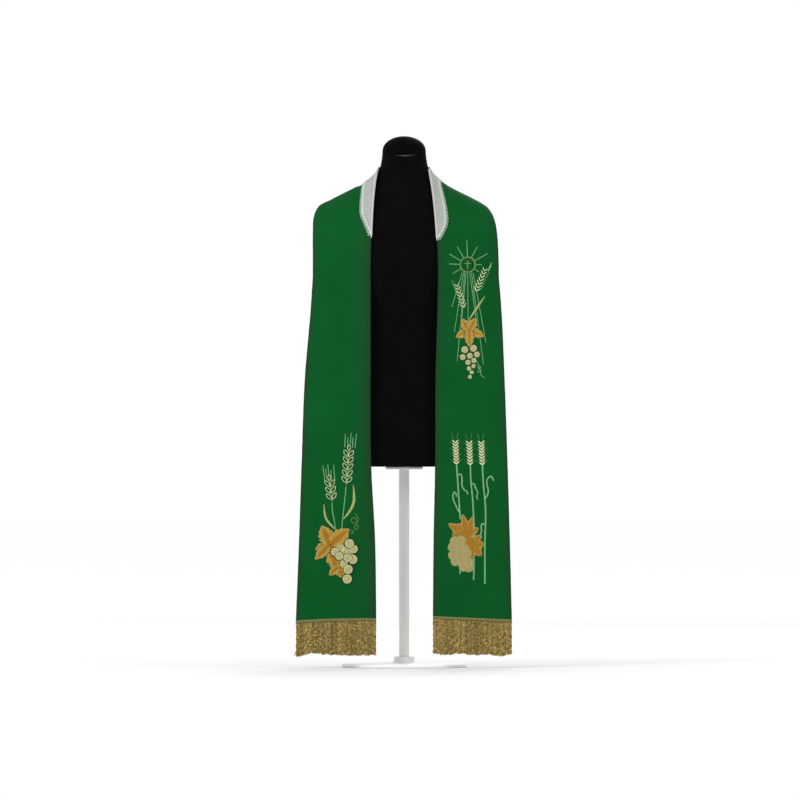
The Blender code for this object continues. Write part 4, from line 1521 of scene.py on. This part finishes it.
# %% The sun and its beams
SUN = (0.1525, 0.969)
RAYS = (
    # angle, and how far from the centre the ray ends
    (0, 35),
    (29, 56),
    (62, 49),
    (92, 59),
    (120, 50),
    (150, 51),
    (178, 45),
    (211, 43),
    (-32, 32),
)
BEAMS = (
    # from x, to x, to y
    (-13, -38, -102),
    (-10, -32, -162),
    (-7, -25, -232),
    (-4, -14, -132),
    (0, 1, -132),
    (5, 20, -132),
    (13, 44, -187),
    (9, 38, -240),
)
rays = [line((bearing(a) * 20, bearing(a) * length), 1.6, 0.7) for a, length in RAYS]
beams = [line(((x, -19), (end_x, end_y)), 1.1, 1.0) for x, end_x, end_y in BEAMS]
sew(1, SUN, "pale_green", rays + beams)
sew(1, SUN, "sage", [ring((0, 0), 18, 3.4)], 0.1, 0.8)
sew(1, SUN, "sage", [line(((0, -11), (0, 11)), 2.6), line(((-8, 3), (8, 3)), 2.6)], 0.0, 0.8)
print("sun and beams:", count_sewn(), "stitches")

# %% The two ears
PAIRS = 7
EAR_STEP = 8.8
SPREAD = 38
LEFT_FOOT = np.array((-9, -103))
LEFT_LEAN = 107
RIGHT_FOOT = np.array((20, -64))
RIGHT_LEAN = 68
sew(1, SUN, "cream", ear(LEFT_FOOT, LEFT_LEAN, PAIRS, EAR_STEP, 13.0, SPREAD, 1.9), 0.1, 0.7)
sew(1, SUN, "cream", ear(RIGHT_FOOT, RIGHT_LEAN, PAIRS, EAR_STEP, 13.5, SPREAD, 2.1), 0.1, 0.7)
right_tips = []
left_tips = []
for number in range(PAIRS):
    right_root = RIGHT_FOOT + bearing(RIGHT_LEAN) * EAR_STEP * number
    left_root = LEFT_FOOT + bearing(LEFT_LEAN) * EAR_STEP * number
    right_tips.append(right_root + bearing(RIGHT_LEAN - SPREAD) * 14)
    left_tips.append(left_root + bearing(LEFT_LEAN + SPREAD) * 12)
awns = [line((tip, tip + bearing(42) * 8), 1.2, 0.3) for tip in right_tips]
for tip in right_tips[5:]:
    awns += [line((tip, tip + bearing(a) * 14), 1.4, 0.3) for a in (58, 72)]
awns += [line((tip, tip + bearing(112) * 9), 1.2, 0.3) for tip in left_tips[3:]]
sew(1, SUN, "pale_green", awns)
print("with the ears:", count_sewn(), "stitches")

# %% The blade, the leaf and the grapes
sew(1, SUN, "straw", [blade(((2, -134), (22, -104), (41, -76)), 5.0)], 0.3, 0.8)
SUN_LEAF = (
    # x, y, angle, length, width, teeth
    (3, -157, 209, 36, 21, 4),
    (3, -157, -23, 40, 21, 4),
    (3, -157, 125, 32, 23, 3),
    (3, -157, 60, 33, 23, 3),
    (3, -157, -88, 41, 22, 4),
)
BUNCH_ROWS = (
    # y, middle x, step, rise a step, radius, grapes
    (-202.5, 3.3, 20.8, 3.4, 8.0, 2),
    (-219, 5.0, 17, 3.2, 6.7, 3),
    (-232.5, 7.7, 14.2, 4.6, 5.8, 2),
    (-246.5, 8.5, 11, 6.0, 4.7, 2),
    (-258.5, 9.5, 0, 0, 4.3, 1),
    (-269.5, 5.2, 0, 0, 4.2, 1),
)


def bunch(rows, layers=(0,)):
    """Grapes in slanted rows, as (x, y, radius, layer)."""
    grapes = []
    for row, (y, x, step, rise, radius, count) in enumerate(rows):
        for n in range(count):
            off = n - (count - 1) / 2
            grapes.append((x + step * off, y + rise * off, radius, layers[(n + row) % len(layers)]))
    return grapes


sew_grapes(1, SUN, bunch(BUNCH_ROWS), "ivory", "cream", "umber", 1.5)
sew_leaf(1, SUN, SUN_LEAF, "gold", "amber", 0.22)
sew(1, SUN, "pale_green", [line(((20, -228), (29, -249), (34, -267), (41, -272)), 1.5, 0.5)])
sew(1, SUN, "pale_green", [ring((28, -246 - 9 * n), 3.4, 1.1, 80, 400) for n in range(2)])
print("the whole breast:", count_sewn(), "stitches")

# %% [markdown]
# ## The motif on the left end
#
# Three full ears stand side by side on long stalks with curled blades. Each has bristles beside
# it and two longer ones at its top. A fiery leaf, a second leaf behind it and a close bunch of
# tan grapes lie across the stalks. Distances are from the foot of the middle ear.

# %% Three ears, their stalks and blades
SHEAF = (0.1577, 0.486)
STALKS = (
    ((-32, 3), (-30, -24), (-27, -70), (-23, -128)),
    ((-24, -240), (-23.5, -259)),
    ((1, 2), (2, -30), (7, -85), (10, -150), (11, -185)),
    ((10, -222), (9, -273)),
    ((30, 2), (33, -50), (37, -90), (36, -190), (36, -283)),
)
BLADES = (
    ((-29, -22), (-22, -20), (-19, -30), (-19, -46), (-15, -56), (-7, -62), (-5, -69)),
    ((3, -44), (9, -43), (14, -54), (19, -65), (16, -74), (19, -81)),
    ((36, -80), (43, -68), (44, -58), (41, -44), (42, -32), (50, -25), (58, -36)),
    ((-25, -112), (-31, -101), (-39, -82), (-41, -71), (-37, -63), (-33, -67), (-32, -74)),
    ((35, -141), (29, -139), (27, -147), (28, -158), (25, -165), (29, -172)),
)
EAR_FEET = ((-32, 4), (1, 2), (30, 2))
EAR_LEAN = 93
FULL_PAIRS = 8
FULL_STEP = 7.2
sew(1, SHEAF, "pale_green", [line(stalk, 3.7) for stalk in STALKS], 0.0, 0.75)
sew(1, SHEAF, "pale_green", [line(points, 3.6, 0.8) for points in BLADES], 0.0, 0.75)
up_ear = bearing(EAR_LEAN)
for x, y in EAR_FEET:
    foot = np.array((x, y), float)
    kernels = ear(foot, EAR_LEAN, FULL_PAIRS, FULL_STEP, 12.0, 43, 3.2, (0.85, 0.95))
    sew(1, SHEAF, "tan", [oval(foot, foot + up_ear * 55, 3)], 0.0, 0.6)
    sew(1, SHEAF, "cream", kernels, 0.25, 0.8)
    tip = foot + up_ear * 56
    bristles = []
    for a in (60, 128):
        bristles.append((tip + bearing(a) * 7, tip + bearing(a - (a - EAR_LEAN) / 3) * 21))
    for number in range(0, FULL_PAIRS, 2):
        middle = foot + up_ear * FULL_STEP * number
        for a in (EAR_LEAN - 50, EAR_LEAN + 50):
            bristles.append((middle + bearing(a) * 11, middle + bearing(a) * 17))
    sew(1, SHEAF, "sage", [line(bristle, 0.8, 0.3) for bristle in bristles], 0.0, 0.4)
print("with three ears:", count_sewn(), "stitches")

# %% Two leaves and the close bunch
FIERY_LEAF = (
    # x, y, angle, length, width, teeth
    (-6, -166, 178, 36, 24, 3),
    (-6, -166, 32, 31, 18, 2),
    (-6, -166, 149, 52, 24, 3),
    (-6, -166, 73, 46, 17, 3),
    (-6, -166, 103, 50, 18, 3),
    (-6, -166, 127, 33, 26, 2),
    (-6, -166, 88, 29, 22, 2),
    (-6, -166, 52, 26, 22, 2),
    (-6, -166, -100, 22, 26, 2),
)
SECOND_LEAF = (
    # x, y, angle, length, width, teeth
    (2, -187, 95, 20, 26, 2),
    (2, -187, -84, 38, 22, 3),
    (2, -187, 38, 30, 24, 3),
    (2, -187, -48, 38, 26, 3),
    (2, -187, -4, 32, 26, 3),
    (2, -187, 180, 16, 20, 2),
)
CLOSE_ROWS = (
    # y, middle x, step, rise a step, radius, grapes
    (-180, -29, 15, 1.5, 10.0, 2),
    (-196, -27, 14, -1.0, 10.5, 3),
    (-213, -24, 16, 1.5, 10.5, 3),
    (-230, -19, 15, -1.5, 10.5, 3),
    (-243, -9, 12, -1.5, 10.0, 2),
)
sew_leaf(1, SHEAF, SECOND_LEAF, "gold", "amber", 0.72, parted=False)
sew_leaf(1, SHEAF, FIERY_LEAF, "gold", "amber", 0.72, parted=False)
sew_grapes(1, SHEAF, bunch(CLOSE_ROWS, (0, 2, 1)), "tan", "ivory", "straw", 0.6)
print("with the left end:", count_sewn(), "stitches")

# %% [markdown]
# ## The motif on the right end
#
# Here the two ears are drawn with open kernels and long straight awns. Two blades bend out
# from the stalks, a vine leaf with deep teeth covers their ends, and ivory grapes overlap
# each other beside it, under a curly tendril. Distances are from the heart of the leaf.

# %% Two open ears and their blades
VINE = (-0.1783, 0.2976)
OPEN_EARS = (
    # foot, angle, pairs of kernels
    ((40, 147), 86, 5),
    ((5, 107), 97, 3),
)
AWNS = (
    ((36, 233), (37, 265)),
    ((43, 232), (43, 258)),
    ((49, 240), (51, 267)),
    ((54, 232), (56, 257)),
    ((60, 231), (64, 265)),
    ((-12, 152), (-17, 189)),
    ((-7, 156), (-10, 182)),
    ((-2, 164), (-5, 192)),
    ((4, 156), (2, 179)),
    ((12, 152), (9, 191)),
)
VINE_STALKS = (
    ((39, 140), (36, 110), (32, 75), (28, 37)),
    ((5, 100), (6, 80), (10, 60), (13, 36)),
)
for foot, angle, pairs in OPEN_EARS:
    kernels, middles = open_ear(np.array(foot), angle, pairs, 15.8, 19.5, 37, 8.2)
    sew(-1, VINE, "cream", kernels, 0.1, 0.8)
    sew(-1, VINE, "tan", middles, 0.0, 0.6)
sew(-1, VINE, "pale_green", [line(awn, 1.9, 0.7) for awn in AWNS], 0.0, 0.6)
sew(-1, VINE, "pale_green", [line(stalk, 2.0) for stalk in VINE_STALKS], 0.0, 0.65)
right_blade = blade(((32, 60), (38, 67), (49, 82), (57, 100), (58, 120), (56, 143)), 6.4)
left_blade = blade(((15, 34), (2, 47), (-9, 62), (-13, 78), (-14, 97)), 5.2)
sew(-1, VINE, "straw", [right_blade, left_blade], 0.0, 0.8)
print("with two open ears:", count_sewn(), "stitches")

# %% The vine leaf, grapes and tendril
VINE_LEAF = (
    # x, y, angle, length, width, teeth
    (0, -4, -18, 36, 18, 2),
    (0, -10, -70, 60, 34, 4),
    (20, -56, -62, 28, 22, 2),
    (20, -54, 223, 29, 20, 2),
    (0, 0, 199, 37, 23, 4),
    (-2, -2, 226, 48, 24, 4),
    (0, 0, 113, 49, 36, 5),
    (2, 0, 40, 58, 38, 5),
)
VINE_GRAPES = (
    # x, y, radius, layer
    (48, -18, 9, 0),
    (25, -9, 10, 0),
    (38, -14, 8, 0),
    (34, -23, 9, 0),
    (30, -39, 7, 0),
    (57, -11, 10, 1),
    (55, -36, 11, 1),
    (13, -18, 10, 1),
    (34, -48, 9, 1),
    (44, -60, 11, 2),
    (43, -32, 10, 2),
    (47, 2, 11, 2),
    (23, -28, 9.5, 2),
    (42, -83, 11, 1),
)
TENDRIL_LOOPS = ((42.5, 19.5, 3.2), (52, 30, 4.0), (63.5, 41, 4.8), (58, 57.5, 6.6))
TENDRIL_TAIL = ((63, 46), (67.5, 54), (68.3, 62), (64.5, 70), (58.5, 75.5))
sew_leaf(-1, VINE, VINE_LEAF, "gold", "amber", 0.38)
over_leaf = [(x, y, radius, layer + 2) for x, y, radius, layer in VINE_GRAPES]
sew_grapes(-1, VINE, over_leaf, "ivory", "cream", "umber", 0.6)
sew(-1, VINE, "sage", tendril(TENDRIL_LOOPS, TENDRIL_TAIL), 0.0, 0.5)
print("all embroidery:", count_sewn(), "stitches")

# %% The sewn pieces
embroidery = {-1: [], 1: []}
for (side, thread), parts in sewn.items():
    rings = np.concatenate(parts)
    name = "embroidery_" + ("left_" if side > 0 else "right_") + thread
    embroidery[side].append(skin(name, rings, THREADS[thread.removesuffix("_fine")]))
    print(name, len(rings), "stitches")

# %% [markdown]
# ## The cloth as it was cut
#
# A stole is two long strips and its band is one narrow strip. The panels are draped over the
# jersey, and the band over the panels.


# %% [markdown]
# ## Finish
#

# %% Finish
import json
